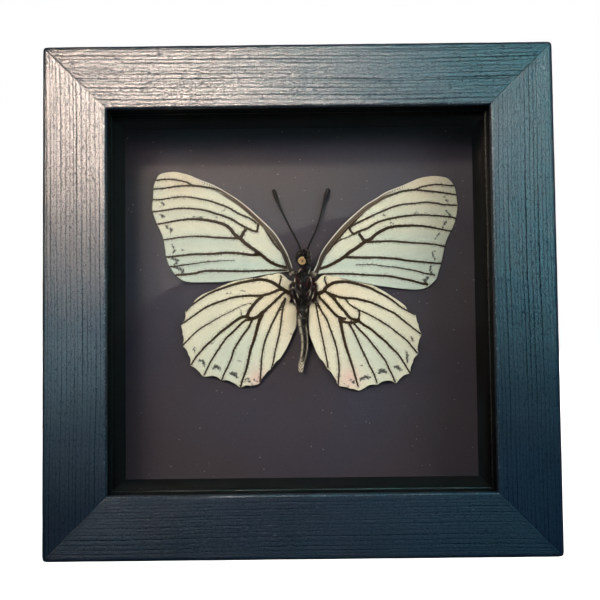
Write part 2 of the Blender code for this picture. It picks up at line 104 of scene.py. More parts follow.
def add_node(tree, kind, inputs=None, **settings):
    """A shader node with its inputs set or, where a value is another node's output, linked."""
    node = tree.nodes.new(kind)
    for key, value in settings.items():
        setattr(node, key, value)
    for key, value in (inputs or {}).items():
        if isinstance(value, bpy.types.NodeSocket):
            tree.links.new(value, node.inputs[key])
        else:
            node.inputs[key].default_value = value
    return node


def maths(tree, operation, *values):
    return add_node(tree, "ShaderNodeMath", dict(enumerate(values)), operation=operation).outputs[0]


def weighed(tree, base, *shares):
    """The base plus each value times its own factor, from pairs of the two."""
    for value, factor in shares:
        base = maths(tree, "ADD", base, maths(tree, "MULTIPLY", value, factor))
    return base


def blend(tree, share, first, second):
    """The colour between two colours, each a socket or three numbers."""
    colours = [c if isinstance(c, bpy.types.NodeSocket) else (*c, 1.0) for c in (first, second)]
    node = add_node(tree, "ShaderNodeMix", {0: share, 6: colours[0], 7: colours[1]}, data_type="RGBA")
    return node.outputs[2]


def step_up(tree, value, low, high):
    """0 below low and 1 above high, smooth between them. With low above high it steps down."""
    inputs = {0: value, 1: low, 2: high, 3: 0.0, 4: 1.0}
    return add_node(tree, "ShaderNodeMapRange", inputs, interpolation_type="SMOOTHSTEP").outputs[0]


def noise(tree, vector, scale, detail=2.0, roughness=0.5):
    """Fractal noise from 0 to 1. The vector is in mm, so scale is in features for each mm."""
    inputs = {"Vector": vector, "Scale": scale, "Detail": detail, "Roughness": roughness}
    return add_node(tree, "ShaderNodeTexNoise", inputs).outputs[0]


def stretched(tree, vector, x, y, z):
    return add_node(tree, "ShaderNodeVectorMath", {0: vector, 1: (x, y, z)}, operation="MULTIPLY").outputs[0]


def place_in_mm(tree):
    """The point's own place on the object, in mm."""
    place = add_node(tree, "ShaderNodeTexCoord").outputs["Object"]
    return stretched(tree, place, 1000.0, 1000.0, 1000.0)


def attribute(tree, name, output="Fac"):
    return add_node(tree, "ShaderNodeAttribute", attribute_name=name).outputs[output]


def bump(tree, height, depth):
    """A normal from a height of 0 to 1 that stands for depth in mm."""
    inputs = {"Strength": 1.0, "Distance": depth * MM, "Height": height}
    return add_node(tree, "ShaderNodeBump", inputs).outputs[0]


def new_material(name, **plain):
    """A material with one Principled BSDF. The keyword values go on its sockets."""
    made = bpy.data.materials.new(name)
    made.use_nodes = True
    shader = made.node_tree.nodes["Principled BSDF"]
    for key, value in plain.items():
        shader.inputs[key.replace("_", " ")].default_value = value
    return made, made.node_tree, shader


def connect(tree, shader, **sockets):
    for key, value in sockets.items():
        tree.links.new(value, shader.inputs[key.replace("_", " ")])


def new_group(name, inputs, outputs):
    """A node group with named inputs, given as name: default, and named outputs, given as name: kind."""
    group = bpy.data.node_groups.new(name, "ShaderNodeTree")
    for key, default in inputs.items():
        kind = "NodeSocketFloat" if isinstance(default, float) else "NodeSocketColor"
        kind = "NodeSocketVector" if default is None else kind
        socket = group.interface.new_socket(key, in_out="INPUT", socket_type=kind)
        if default is not None:
            socket.default_value = default
    for key, kind in outputs.items():
        group.interface.new_socket(key, in_out="OUTPUT", socket_type="NodeSocket" + kind)
    given = group.nodes.new("NodeGroupInput").outputs
    result = group.nodes.new("NodeGroupOutput").inputs
    return group, given, result


def use_group(tree, group, **inputs):
    return add_node(tree, "ShaderNodeGroup", inputs, node_tree=group).outputs


def mesh_object(name, verts, faces, material, attributes):
    """A smooth mesh from points in metres. Attributes are numbers or vectors, one for each point."""
    mesh = bpy.data.meshes.new(name)
    mesh.from_pydata([tuple(v) for v in verts], [], [tuple(f) for f in faces])
    bm = bmesh.new()
    bm.from_mesh(mesh)
    bmesh.ops.recalc_face_normals(bm, faces=bm.faces)
    bm.to_mesh(mesh)
    bm.free()
    for key, values in attributes.items():
        values = np.asarray(values, np.float32)
        kind, field = ("FLOAT", "value") if values.ndim == 1 else ("FLOAT_VECTOR", "vector")
        mesh.attributes.new(key, kind, "POINT").data.foreach_set(field, values.ravel())
    mesh.shade_smooth()
    mesh.materials.append(material)
    obj = bpy.data.objects.new(name, mesh)
    bpy.context.scene.collection.objects.link(obj)
    return obj


def grain_group():
    """Brushed rings and pores. Grain is (ring number, mm along, mm across), and Strength a ring's depth."""
    group, given, result = new_group(
        "brushed grain", {"Grain": None, "Strength": 0.5},
        {"Line": "Float", "Pores": "Float", "Streak": "Float", "Height": "Float"},
    )
    parts = add_node(group, "ShaderNodeSeparateXYZ", {0: given["Grain"]}).outputs
    phase = maths(group, "FRACT", maths(group, "ADD", parts[0], 0.5))
    away = maths(group, "ABSOLUTE", maths(group, "SUBTRACT", phase, 0.5))
    ragged = noise(group, stretched(group, given["Grain"], 3.0, 1.1, 3.0), 1.0, 3.0, 0.65)
    edge = weighed(group, away, (maths(group, "SUBTRACT", ragged, 0.5), 0.34))
    line = maths(group, "MULTIPLY", step_up(group, edge, 0.15, 0.04), given["Strength"])
    streak = noise(group, stretched(group, given["Grain"], 0.0, 0.30, 5.2), 1.0, 3.0, 0.62)
    coarse = noise(group, stretched(group, given["Grain"], 0.0, 0.75, 4.3), 1.0, 2.0, 0.6)
    fine = noise(group, stretched(group, given["Grain"], 0.0, 2.1, 6.0), 1.0, 1.0, 0.6)
    pores = maths(group, "MAXIMUM", step_up(group, coarse, 0.54, 0.66), step_up(group, fine, 0.54, 0.64))
    height = weighed(group, 0.0, (streak, 0.8), (pores, -0.45), (line, -0.8))
    for key, value in {"Line": line, "Pores": pores, "Streak": streak, "Height": height}.items():
        group.links.new(value, result[key])
    return group


brushed_grain = grain_group()
STAIN_DEEP = (0.0012, 0.0062, 0.0190)
STAIN_PALER = (0.0021, 0.0090, 0.0260)
STAIN_IN_HOLLOWS = (0.0015, 0.004, 0.007)
WALL_PAINT = (0.0022, 0.0021, 0.0019)
# Pale specks on the inner arris: partly rubbed wood, partly a painted highlight.
WORN_AND_GLINT_PALE = (0.15, 0.19, 0.20)
SATIN = 0.255


def stained_wood():
    made, tree, shader = new_material("stained wood", IOR=1.5)
    strength = attribute(tree, "ring_strength")
    grain = use_group(tree, brushed_grain, Grain=attribute(tree, "grain", "Vector"), Strength=strength)
    drift = noise(tree, place_in_mm(tree), 0.045, 2.0)
    stain = blend(tree, step_up(tree, drift, 0.35, 0.65), STAIN_DEEP, STAIN_PALER)
    hollow = maths(tree, "MAXIMUM", grain["Line"], maths(tree, "MULTIPLY", grain["Pores"], 0.60))
    stain = blend(tree, maths(tree, "MULTIPLY", hollow, 0.8), stain, STAIN_IN_HOLLOWS)
    painted = attribute(tree, "painted")
    colour = blend(tree, painted, stain, WALL_PAINT)
    rough = weighed(tree, SATIN, (grain["Streak"], 0.06), (hollow, 0.12), (painted, 0.35))
    coat = maths(tree, "MULTIPLY", weighed(tree, 0.62, (hollow, -0.58)), weighed(tree, 1.0, (painted, -0.85)))

    # Pale specks along the inner arris are partly stain rubbed thin and partly a painted highlight, and the
    #     # bead of sealant is glossy.
    arris_specks = noise(tree, stretched(tree, place_in_mm(tree), 1.0, 2.0, 1.0), 1.9, 3.0, 0.65)
    wear_and_glint = maths(tree, "MULTIPLY", step_up(tree, arris_specks, 0.55, 0.66), attribute(tree, "inner_arris"))
    colour = blend(tree, maths(tree, "MULTIPLY", wear_and_glint, 0.6), colour, WORN_AND_GLINT_PALE)
    bead = attribute(tree, "bead")
    rough = weighed(tree, rough, (bead, -0.48))
    coat = weighed(tree, coat, (bead, 0.6))
    normal = bump(tree, grain["Height"], 0.065)
    connect(tree, shader, Base_Color=colour, Roughness=rough, Specular_IOR_Level=coat, Normal=normal)
    return made


def run(start, end, count):
    """Points on a straight stretch, without its last one."""
    share = np.arange(count)[:, None] / count
    return np.array(start, float) * (1 - share) + np.array(end, float) * share


def arc(middle, radius, start, end, count):
    """Points on an arc between two angles in degrees, without the last one."""
    angle = np.radians(start + (end - start) * np.arange(count) / count)
    return np.stack([middle[0] + radius * np.cos(angle), middle[1] + radius * np.sin(angle)], 1)


def rail_section():
    """The section as (mm in from the outer side, mm back from the front), all the way round."""
    bead_front, bead_back = BEAD_DEPTH - BEAD_RADIUS, BEAD_DEPTH + BEAD_RADIUS
    across_front = FACE_WIDTH - INNER_ARRIS - OUTER_ARRIS
    side_length = RAIL_DEPTH - OUTER_ARRIS - BACK_ARRIS
    return np.concatenate([
        run((FACE_WIDTH, LIP_DEPTH), (FACE_WIDTH, bead_back), 1),
        arc((FACE_WIDTH, BEAD_DEPTH), BEAD_RADIUS, 90, -90, 8),
        run((FACE_WIDTH, bead_front), (FACE_WIDTH, INNER_ARRIS), 7),
        arc((FACE_WIDTH - INNER_ARRIS, INNER_ARRIS), INNER_ARRIS, 0, -90, 9),
        run((FACE_WIDTH - INNER_ARRIS, 0), (OUTER_ARRIS, 0), round(across_front / 0.105)),
        arc((OUTER_ARRIS, OUTER_ARRIS), OUTER_ARRIS, 270, 180, 10),
        run((0, OUTER_ARRIS), (0, RAIL_DEPTH - BACK_ARRIS), round(side_length / 0.19)),
        arc((BACK_ARRIS, RAIL_DEPTH - BACK_ARRIS), BACK_ARRIS, 180, 90, 5),
        run((BACK_ARRIS, RAIL_DEPTH), (WALL_WIDTH, RAIL_DEPTH), 40),
        run((WALL_WIDTH, RAIL_DEPTH), (WALL_WIDTH, LIP_DEPTH), 12),
        run((WALL_WIDTH, LIP_DEPTH), (FACE_WIDTH, LIP_DEPTH), 6),
    ])  # fmt: skip


def wander(places, draw, waves):
    """A slow random curve: the sum of sines, each given as (length, height)."""
    phases = [draw.uniform(0, 2 * np.pi) for _ in waves]
    return sum(high * np.sin(2 * np.pi * places / long + phase) for (long, high), phase in zip(waves, phases))


# How much the bead shines on the bottom, right, top and left rails.
BEAD_SHINE = (1.0, 0.8, 0.25, 0.2)
TOLERANCE = 0.01
RING_COUNT = 140
FIRST_RING = 6
RING_WANDER = ((170, 0.32), (61, 0.10), (23, 0.025), (8.3, 0.008))
FACE_WANDER = ((23, 0.012), (9, 0.008))
MEAN_SINK = 0.02
LEAST_SINK = 0.002
MITRE_EASE_REACH = 0.15
ARRIS_SPECK_REACH = 0.75
COLUMNS_NEAR_MITRE = (0.0, 0.05, 0.12, 0.25, 0.5)
PLAIN_COLUMNS = 116
PLAIN_COLUMNS_FROM = 1.4


def rail(name, turn, seed, finish):
    """One rail, built as the bottom one and turned into place about the frame's middle in quarter turns."""
    draw = np.random.default_rng(seed)
    section = rail_section()
    count = len(section)
    forward = np.roll(section, -1, 0) - np.roll(section, 1, 0)
    out = np.stack([-forward[:, 1], forward[:, 0]], 1)
    out /= np.linalg.norm(out, axis=1)[:, None]
    perimeter = np.concatenate([[0], np.cumsum(np.linalg.norm(np.diff(section, axis=0), axis=1))])

    # Columns along the rail are closer together near the mitres, where the edges are eased.
    near = np.array(COLUMNS_NEAR_MITRE) / HALF_SIDE
    plain = 1 - PLAIN_COLUMNS_FROM / HALF_SIDE
    share = np.concatenate([near - 1, np.linspace(-plain, plain, PLAIN_COLUMNS), 1 - near[::-1]])
    columns = len(share)
    half_length = HALF_SIDE - section[:, 0] - MITRE_GAP
    along = share[None, :] * half_length[:, None]
    from_end = (1 - np.abs(share))[None, :] * half_length[:, None]

    # Rings run along the rail, with random spacing and a slow wander, and each comes and goes.
    rings = np.cumsum(draw.uniform(*RING_SPACING, RING_COUNT) ** 1.15)
    wandered = perimeter[:, None] + FIRST_RING + wander(along, draw, RING_WANDER)
    phase = np.interp(wandered, rings, np.arange(RING_COUNT))
    ring = np.round(phase).astype(int)
    spacing = np.diff(rings)[np.clip(ring, 0, RING_COUNT - 2)]
    away = np.abs(phase - ring) * spacing
    base_strength = draw.uniform(0.45, 1.0, RING_COUNT)[ring]
    fade_length = draw.uniform(35, 110, RING_COUNT)[ring]
    fade_start = draw.uniform(0, 2 * np.pi, RING_COUNT)[ring]
    fade = 0.5 + 0.5 * np.sin(2 * np.pi * along / fade_length + fade_start)
    strength = base_strength * (0.45 + 0.55 * fade)
    groove = strength * np.exp(-((away / GROOVE_HALF_WIDTH) ** 2))

    across, deep = section.T
    bead = (across > FACE_WIDTH + TOLERANCE) * BEAD_SHINE[turn]
    inner_arris = np.clip(1.3 - np.hypot(across - FACE_WIDTH, deep) / ARRIS_SPECK_REACH, 0, 1)
    on_wall = (across > FACE_WIDTH - TOLERANCE) & (deep > INNER_ARRIS)
    in_rebate = (deep > LIP_DEPTH - TOLERANCE) & (across > WALL_WIDTH - TOLERANCE)
    painted = (on_wall | in_rebate).astype(float)
    textured = 1 - painted
    ease = np.clip(1 - from_end / MITRE_EASE_REACH, 0, 1) ** 2 * MITRE_EASE
    sink = textured[:, None] * (groove * GROOVE_DEPTH + wander(along, draw, FACE_WANDER) + MEAN_SINK)
    sink = np.maximum(sink, LEAST_SINK) + ease * textured[:, None]
    inward = section[:, 0][:, None] - out[:, 0][:, None] * sink
    depth = section[:, 1][:, None] - out[:, 1][:, None] * sink
    along = share[None, :] * (HALF_SIDE - inward - MITRE_GAP)

    flat = np.stack([along, inward - HALF_SIDE], -1).reshape(-1, 2)
    cosine, sine = ((1, 0), (0, 1), (-1, 0), (0, -1))[turn]
    # The frame's four outer corners are sanded round: squares about a corner's middle become arcs.
    into = np.abs(flat) - (HALF_SIDE - CORNER_RADIUS)
    at_corner = (into > 0).all(1)
    squeeze = np.where(at_corner, into.max(1) / np.maximum(np.hypot(into[:, 0], into[:, 1]), 1e-9), 1.0)
    rounded = np.sign(flat) * (HALF_SIDE - CORNER_RADIUS + into * squeeze[:, None])
    flat = np.where(at_corner[:, None], rounded, flat)
    x = flat[:, 0] * cosine - flat[:, 1] * sine
    z = flat[:, 0] * sine + flat[:, 1] * cosine
    verts = np.stack([x * MM, FRONT + depth.ravel() * MM, BASE + (z + HALF_SIDE) * MM], 1)
    faces = []
    for i in range(count):
        above = (i + 1) % count
        for j in range(columns - 1):
            faces.append((i * columns + j, i * columns + j + 1, above * columns + j + 1, above * columns + j))
    faces.append([i * columns for i in range(count)])
    faces.append([i * columns + columns - 1 for i in range(count)][::-1])
    grain = np.stack([phase.ravel() + seed * 7.3, along.ravel() + seed * 31.0, wandered.ravel()], 1)
    fields = {"grain": grain, "ring_strength": strength.ravel()}
    for key, value in {"painted": painted, "bead": bead, "inner_arris": inner_arris}.items():
        fields[key] = np.repeat(value, columns)
    obj = mesh_object("brushed_" + name, verts, faces, finish, fields)
    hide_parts(name)
    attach(obj, "root")


wood = stained_wood()
for turn, rail_name in enumerate(("rail_bottom", "rail_right", "rail_top", "rail_left")):
    rail(rail_name, turn, turn + 1, wood)


# ---------------------------------------------------------------------------------------------------------
# Glass. One pane of clear picture glass with a low-reflection coating, dropped in behind the lip.
# ---------------------------------------------------------------------------------------------------------

def clear_glass():
    made, tree, shader = new_material(
        "clear glass", Base_Color=(1.0, 1.0, 1.0, 1.0), Roughness=0.0, IOR=1.45, Specular_IOR_Level=0.2
    )
    shader.inputs["Transmission Weight"].default_value = 1.0
    # Lamps reach what is behind the pane straight through it.
    path = add_node(tree, "ShaderNodeLightPath").outputs
    passes = maths(tree, "MAXIMUM", path["Is Shadow Ray"], path["Is Diffuse Ray"])
    through = add_node(tree, "ShaderNodeBsdfTransparent").outputs[0]
    mixed = add_node(tree, "ShaderNodeMixShader", {0: passes, 1: shader.outputs[0], 2: through}).outputs[0]
    tree.links.new(mixed, tree.nodes["Material Output"].inputs["Surface"])
    return made


def finish_node(name, material):
    """Gives a CAD node its material."""
    node = frame["nodes"][name]
    node.data.materials.clear()
    node.data.materials.append(material)


finish_node("glass_pane", clear_glass())


# ---------------------------------------------------------------------------------------------------------
# Spacers. Four strips of black paper-covered card stand between the glass and the board.
# ---------------------------------------------------------------------------------------------------------

def black_paper():
    made, tree, shader = new_material("black paper", Specular_IOR_Level=0.12)
    fibres = noise(tree, place_in_mm(tree), 2.4, 4.0, 0.6)
    colour = blend(tree, fibres, (0.0022, 0.0020, 0.0018), (0.0040, 0.0037, 0.0034))
    rough = weighed(tree, 0.78, (fibres, 0.2))
    connect(tree, shader, Base_Color=colour, Roughness=rough, Normal=bump(tree, fibres, 0.03))
    return made


black = black_paper()
for side in ("bottom", "left", "top", "right"):
    finish_node("spacer_" + side, black)


# ---------------------------------------------------------------------------------------------------------
# Mount board. Stiff card covered in charcoal paper with a slight violet cast. The paper is a little mottled,
# with short fibres in it and specks of pale dust on it.
# ---------------------------------------------------------------------------------------------------------

def speckle_group():
    """Fine pale specks of dust, each a round dot on about one cell in a few of a random grid."""
    group, given, result = new_group(
        "dust specks", {"Vector": None, "Cells": 0.6, "Size": 0.09, "Share": 0.4}, {"Mask": "Float"}
    )
    cells = add_node(group, "ShaderNodeTexVoronoi", {"Vector": given["Vector"], "Scale": given["Cells"]})
    reach = maths(group, "MULTIPLY", given["Size"], given["Cells"])
    pick = add_node(group, "ShaderNodeSeparateColor", {0: cells.outputs["Color"]}).outputs
    near = maths(group, "MULTIPLY", reach, pick[1])
    dot = step_up(group, maths(group, "SUBTRACT", cells.outputs["Distance"], near), 0.02, -0.02)
    chosen = maths(group, "LESS_THAN", pick[0], given["Share"])
    group.links.new(maths(group, "MULTIPLY", dot, chosen), result["Mask"])
    return group


dust_specks = speckle_group()
PAPER_WARM = (0.0330, 0.0240, 0.0298)
PAPER_COOL = (0.0270, 0.0236, 0.0372)
PALE_DUST = (0.30, 0.28, 0.27)


def charcoal_paper():
    made, tree, shader = new_material("charcoal paper", Specular_IOR_Level=0.22)
    place = place_in_mm(tree)
    clouds = noise(tree, place, 0.035, 3.0, 0.55)
    hue = noise(tree, stretched(tree, place, 1.0, 1.0, 1.3), 0.021, 1.0)
    mottle = noise(tree, place, 1.7, 4.0, 0.72)
    fibres = noise(tree, stretched(tree, place, 1.0, 1.0, 0.35), 6.0, 2.0, 0.5)
    colour = blend(tree, step_up(tree, hue, 0.35, 0.65), PAPER_WARM, PAPER_COOL)
    shade = weighed(tree, 0.16, (clouds, 0.52), (mottle, 1.15), (fibres, 0.14))
    shaded = add_node(tree, "ShaderNodeVectorMath", {0: colour, 3: shade}, operation="SCALE").outputs[0]
    dust = use_group(tree, dust_specks, Vector=place, Cells=0.85, Size=0.17, Share=0.34)["Mask"]
    colour = blend(tree, maths(tree, "MULTIPLY", dust, 0.55), shaded, PALE_DUST)
    rough = weighed(tree, 0.50, (mottle, 0.2))
    height = weighed(tree, mottle, (fibres, 0.4))
    connect(tree, shader, Base_Color=colour, Roughness=rough, Normal=bump(tree, height, 0.05))
    return made


finish_node("mount_board", charcoal_paper())


# ---------------------------------------------------------------------------------------------------------
# Wings. Each is one membrane covered in scales, cream to mint green, and stiffened by raised brown veins.
# They are dried flat, underside to the front, with the hindwings lying over the forewings. Places are in mm
# from the wing roots, to the right and up, as seen from the front.
# ---------------------------------------------------------------------------------------------------------

thorax_low, thorax_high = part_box("butterfly_thorax")
ROOTS_ABOVE_THORAX = 4.9
ROOTS_X = (thorax_low.x + thorax_high.x) / 2
ROOTS_Z = (thorax_low.z + thorax_high.z) / 2 + ROOTS_ABOVE_THORAX * MM
WING_CELL = 0.30
MEMBRANE = 0.09
CAD_WING_THICKNESS = 0.24
WING_LIFT = 0.12
WING_SAG = 0.11
VEIN_HEIGHT = (0.04, 0.24)
HINDWING_SCALLOP = 0.35
VEIN_END_REACH = 0.7
FAR = 9.0

# Each vein is (width at its start, width at its end, route).
FOREWING_LEFT = {
    "outline": [
        (-2.9, 0.4), (-3.7, 2.9), (-4.5, 4.9), (-6.2, 7.9), (-7.9, 10.4), (-10.1, 12.7), (-12.3, 14.8),
        (-15.1, 17.4), (-17.3, 19.2), (-20.1, 21.1), (-22.0, 22.3), (-25.1, 24.0), (-28.4, 25.3),
        (-31.5, 26.6), (-33.4, 27.1), (-35.1, 27.5), (-37.0, 27.5), (-39.0, 27.2), (-40.1, 26.6),
        (-40.8, 25.4), (-41.5, 23.4), (-41.7, 20.4), (-42.0, 17.9), (-41.8, 16.2), (-41.2, 14.4),
        (-40.6, 12.9), (-39.8, 11.2), (-39.3, 10.1), (-38.8, 8.4), (-38.4, 5.9), (-38.1, 3.7),
        (-37.4, 1.5), (-36.6, 0.1), (-35.6, -1.3), (-34.3, -2.4), (-32.9, -3.2), (-31.5, -3.4),
        (-29.5, -3.5), (-25.9, -3.5), (-21.8, -3.4), (-16.2, -2.6), (-10.6, -1.6), (-5.6, -0.9),
        (-3.4, -0.6),
    ],
    "veins": [
        (0.40, 0.42, [(-30.4, 23.6), (-32.0, 24.5), (-34.8, 25.2), (-37.6, 25.5), (-40.9, 25.2)]),
        (0.80, 0.42, [
            (-11.2, 13.0), (-13.4, 15.0), (-16.2, 17.5), (-18.9, 19.9), (-21.7, 21.7), (-24.5, 22.6),
            (-27.3, 23.2), (-30.4, 23.6), (-32.9, 23.6), (-35.6, 23.4), (-38.4, 23.0), (-41.5, 22.8),
        ]),
        (0.55, 0.40, [
            (-12.9, 13.0), (-14.8, 14.3), (-17.6, 15.5), (-20.4, 17.2), (-23.1, 18.3), (-25.9, 19.3),
            (-28.7, 19.9), (-31.5, 20.4), (-34.2, 20.5), (-37.0, 20.2), (-39.8, 19.8), (-41.7, 19.8),
        ]),
        (0.65, 0.42, [
            (-12.6, 10.5), (-14.0, 10.8), (-15.6, 11.6), (-17.6, 12.7), (-19.8, 14.1), (-22.3, 15.1),
            (-24.5, 15.8), (-27.3, 16.7), (-30.1, 17.1), (-32.9, 17.3), (-35.6, 17.2), (-38.4, 16.8),
            (-41.8, 16.4),
        ]),
        (1.00, 0.75, [
            (-17.3, 8.6), (-19.0, 9.9), (-20.1, 11.4), (-21.8, 12.6), (-23.9, 13.3), (-26.7, 13.9),
        ]),
        (0.75, 0.38, [
            (-26.7, 13.9), (-29.5, 14.2), (-32.0, 14.2), (-34.8, 13.9), (-37.6, 13.4), (-40.8, 12.9),
        ]),
        (0.60, 0.38, [
            (-17.3, 8.6), (-20.4, 8.8), (-24.5, 9.0), (-27.3, 9.3), (-30.1, 9.4), (-32.8, 9.3), (-35.6, 9.0),
            (-38.8, 8.5),
        ]),
        (0.80, 1.05, [
            (-4.5, 0.4), (-7.0, 1.0), (-9.2, 2.1), (-11.2, 3.7), (-12.8, 5.0), (-14.8, 6.4), (-16.2, 7.5),
            (-17.3, 8.6),
        ]),
        (0.75, 0.50, [
            (-12.0, 4.2), (-14.0, 4.0), (-16.2, 4.3), (-19.0, 4.6), (-21.8, 4.7), (-24.5, 4.5), (-27.3, 4.4),
            (-30.1, 4.4), (-32.9, 4.2), (-35.6, 3.9), (-38.1, 3.7),
        ]),
        (0.12, 0.42, [
            (-19.0, 2.6), (-21.8, 2.5), (-24.5, 2.4), (-27.3, 2.2), (-30.1, 1.8), (-32.8, 1.5), (-35.9, 1.1),
            (-37.2, 1.0),
        ]),
        (0.50, 0.62, [
            (-4.5, -0.4), (-7.9, -0.4), (-12.0, -0.4), (-16.2, -0.5), (-20.4, -0.4), (-24.5, -0.3),
            (-27.3, -0.3), (-30.1, -0.9), (-32.8, -1.2), (-35.3, -1.3),
        ]),
        (0.75, 0.55, [(-4.2, 0.6), (-5.6, 4.3), (-7.0, 6.0), (-8.7, 8.2), (-11.4, 12.8)]),
        (0.60, 0.45, [(-4.3, 2.9), (-6.8, 7.1), (-9.0, 10.2), (-11.8, 13.0)]),
        (0.70, 0.60, [(-12.3, 12.7), (-12.5, 11.6), (-12.6, 10.5)]),
        (0.75, 0.95, [(-15.6, 11.3), (-16.5, 10.3), (-17.2, 8.8)]),
    ],
    "marks": [
        (0.26, [(-39.4, 19.1), (-38.8, 18.3), (-39.8, 17.8)]),
        (0.46, [(-39.6, 15.5), (-38.7, 15.1)]),
        (0.36, [(-38.0, 12.3), (-36.6, 11.2), (-37.0, 10.1)]),
        (0.34, [(-36.6, 7.3), (-35.9, 5.9), (-36.2, 4.9)]),
        (0.40, [(-36.5, 3.3), (-34.9, 2.6), (-35.6, 1.6)]),
        (0.50, [(-35.9, 0.9), (-34.5, 0.5), (-33.5, -0.3), (-34.0, -1.3)]),
        (0.16, [(-22.4, 16.4), (-21.6, 16.7)]),
        (0.14, [(-24.3, 14.7), (-23.7, 14.5)]),
        (0.18, [(-27.6, 14.5), (-30.6, 14.9)]),
        (0.14, [(-33.7, 5.6), (-33.1, 5.6)]),
    ],
    "costa": 14,
}
FOREWING_RIGHT = {
    "outline": [
        (2.9, -0.6), (3.6, 0.9), (5.1, 4.6), (6.8, 7.1), (9.1, 9.9), (11.1, 12.1), (13.1, 14.0),
        (15.4, 16.0), (17.6, 17.8), (20.5, 19.5), (23.0, 21.1), (25.6, 22.2), (27.8, 23.0), (30.1, 24.0),
        (32.1, 24.8), (34.1, 25.3), (36.9, 25.6), (39.4, 25.3), (40.9, 24.7), (42.1, 23.3), (42.8, 21.6),
        (43.1, 19.3), (43.3, 16.8), (42.9, 14.2), (42.3, 12.0), (41.2, 9.8), (40.2, 7.8), (39.6, 6.1),
        (39.0, 3.3), (38.4, 1.1), (37.7, -1.2), (37.0, -3.2), (35.4, -4.8), (33.7, -5.8), (31.4, -6.2),
        (28.6, -6.0), (25.2, -5.6), (22.4, -5.2), (20.2, -4.9), (14.5, -3.7), (8.9, -2.4), (4.7, -1.6),
        (3.4, -1.4),
    ],
    "veins": [
        (0.40, 0.42, [(31.2, 21.7), (33.2, 22.5), (35.5, 23.0), (38.3, 23.2), (40.2, 22.9), (42.3, 22.8)]),
        (0.80, 0.42, [
            (12.8, 11.5), (15.3, 14.0), (17.6, 16.2), (20.5, 18.3), (23.3, 19.8), (25.6, 20.6), (27.8, 21.3),
            (31.2, 21.7), (34.6, 21.4), (37.4, 21.1), (40.2, 20.7), (43.0, 20.2),
        ]),
        (0.55, 0.40, [
            (13.3, 11.5), (15.3, 12.6), (17.6, 13.7), (19.9, 14.8), (22.7, 16.0), (25.5, 17.1), (28.3, 17.7),
            (31.2, 17.9), (34.0, 18.2), (36.8, 18.0), (39.6, 17.5), (43.0, 17.3),
        ]),
        (0.65, 0.42, [
            (14.2, 9.5), (15.8, 10.3), (18.1, 11.1), (20.4, 12.5), (22.6, 13.3), (24.9, 13.8), (27.7, 14.3),
            (30.6, 14.6), (33.4, 14.7), (36.2, 14.5), (39.0, 14.3), (41.5, 14.0), (42.9, 13.5),
        ]),
        (1.00, 0.75, [(17.2, 7.5), (18.9, 8.1), (20.4, 9.4), (22.1, 10.4), (23.7, 11.1), (26.0, 11.6)]),
        (0.75, 0.38, [(26.0, 11.6), (28.8, 11.7), (31.7, 11.7), (34.5, 11.4), (37.3, 10.9), (41.4, 10.0)]),
        (0.65, 0.38, [
            (17.2, 7.2), (19.8, 7.3), (22.6, 7.4), (25.4, 7.4), (28.2, 7.1), (31.0, 6.9), (33.8, 6.7),
            (36.7, 6.4), (39.5, 5.8),
        ]),
        (0.75, 1.05, [
            (4.7, -0.1), (6.7, 0.6), (9.0, 1.7), (11.3, 3.1), (13.2, 4.6), (15.2, 5.8), (17.2, 7.35),
        ]),
        (0.75, 0.50, [
            (11.8, 3.1), (14.1, 3.0), (17.5, 2.9), (20.3, 2.9), (23.1, 2.7), (25.9, 2.5), (28.7, 2.0),
            (31.5, 1.7), (34.3, 1.4), (36.3, 1.2), (38.3, 1.0),
        ]),
        (0.16, 0.42, [
            (14.6, 0.9), (18.8, 1.0), (22.5, 0.5), (25.3, 0.2), (28.1, -0.3), (30.9, -0.8), (33.7, -1.6),
            (36.5, -2.1),
        ]),
        (0.50, 0.62, [
            (4.7, -1.6), (8.9, -1.5), (13.2, -1.6), (17.4, -1.9), (21.6, -2.15), (24.4, -2.4), (27.2, -3.0),
            (30.0, -3.6), (32.8, -4.4), (34.5, -4.7),
        ]),
        (0.75, 0.55, [(4.2, 0.2), (5.9, 3.4), (7.6, 5.6), (9.6, 8.0), (12.8, 11.5)]),
        (0.60, 0.45, [(4.4, 2.3), (7.1, 6.3), (9.6, 9.2), (12.8, 11.9)]),
        (0.35, 0.30, [(8.6, 6.5), (10.4, 7.9), (12.3, 8.6), (14.1, 9.4)]),
        (0.70, 0.60, [(13.3, 11.5), (13.2, 10.6), (14.2, 9.5)]),
        (0.75, 0.95, [(15.8, 9.4), (16.6, 8.3), (17.2, 7.5)]),
    ],
    "marks": [
        (0.14, [(38.9, 22.6), (39.4, 22.4)]),
        (0.16, [(39.6, 19.8), (40.0, 19.4)]),
        (0.16, [(40.2, 18.8), (40.7, 18.1)]),
        (0.20, [(40.1, 16.0), (41.2, 14.4)]),
        (0.28, [(40.1, 13.1), (39.5, 12.0)]),
        (0.13, [(39.4, 11.3), (38.9, 11.1)]),
        (0.24, [(38.1, 9.4), (37.2, 8.4), (37.2, 7.7)]),
        (0.24, [(36.9, 4.7), (36.2, 3.9), (36.6, 2.2)]),
        (0.28, [(36.2, 0.8), (35.4, -0.3), (35.6, -1.7)]),
        (0.50, [(34.7, -2.8), (33.7, -3.7), (34.2, -4.7)]),
        (0.22, [(22.4, 14.7), (23.1, 14.5)]),
        (0.18, [(24.5, 12.6), (25.2, 12.3)]),
        (0.14, [(26.8, 12.1), (27.6, 11.9)]),
        (0.12, [(31.2, 15.3), (32.2, 15.3)]),
    ],
    "costa": 15,
}
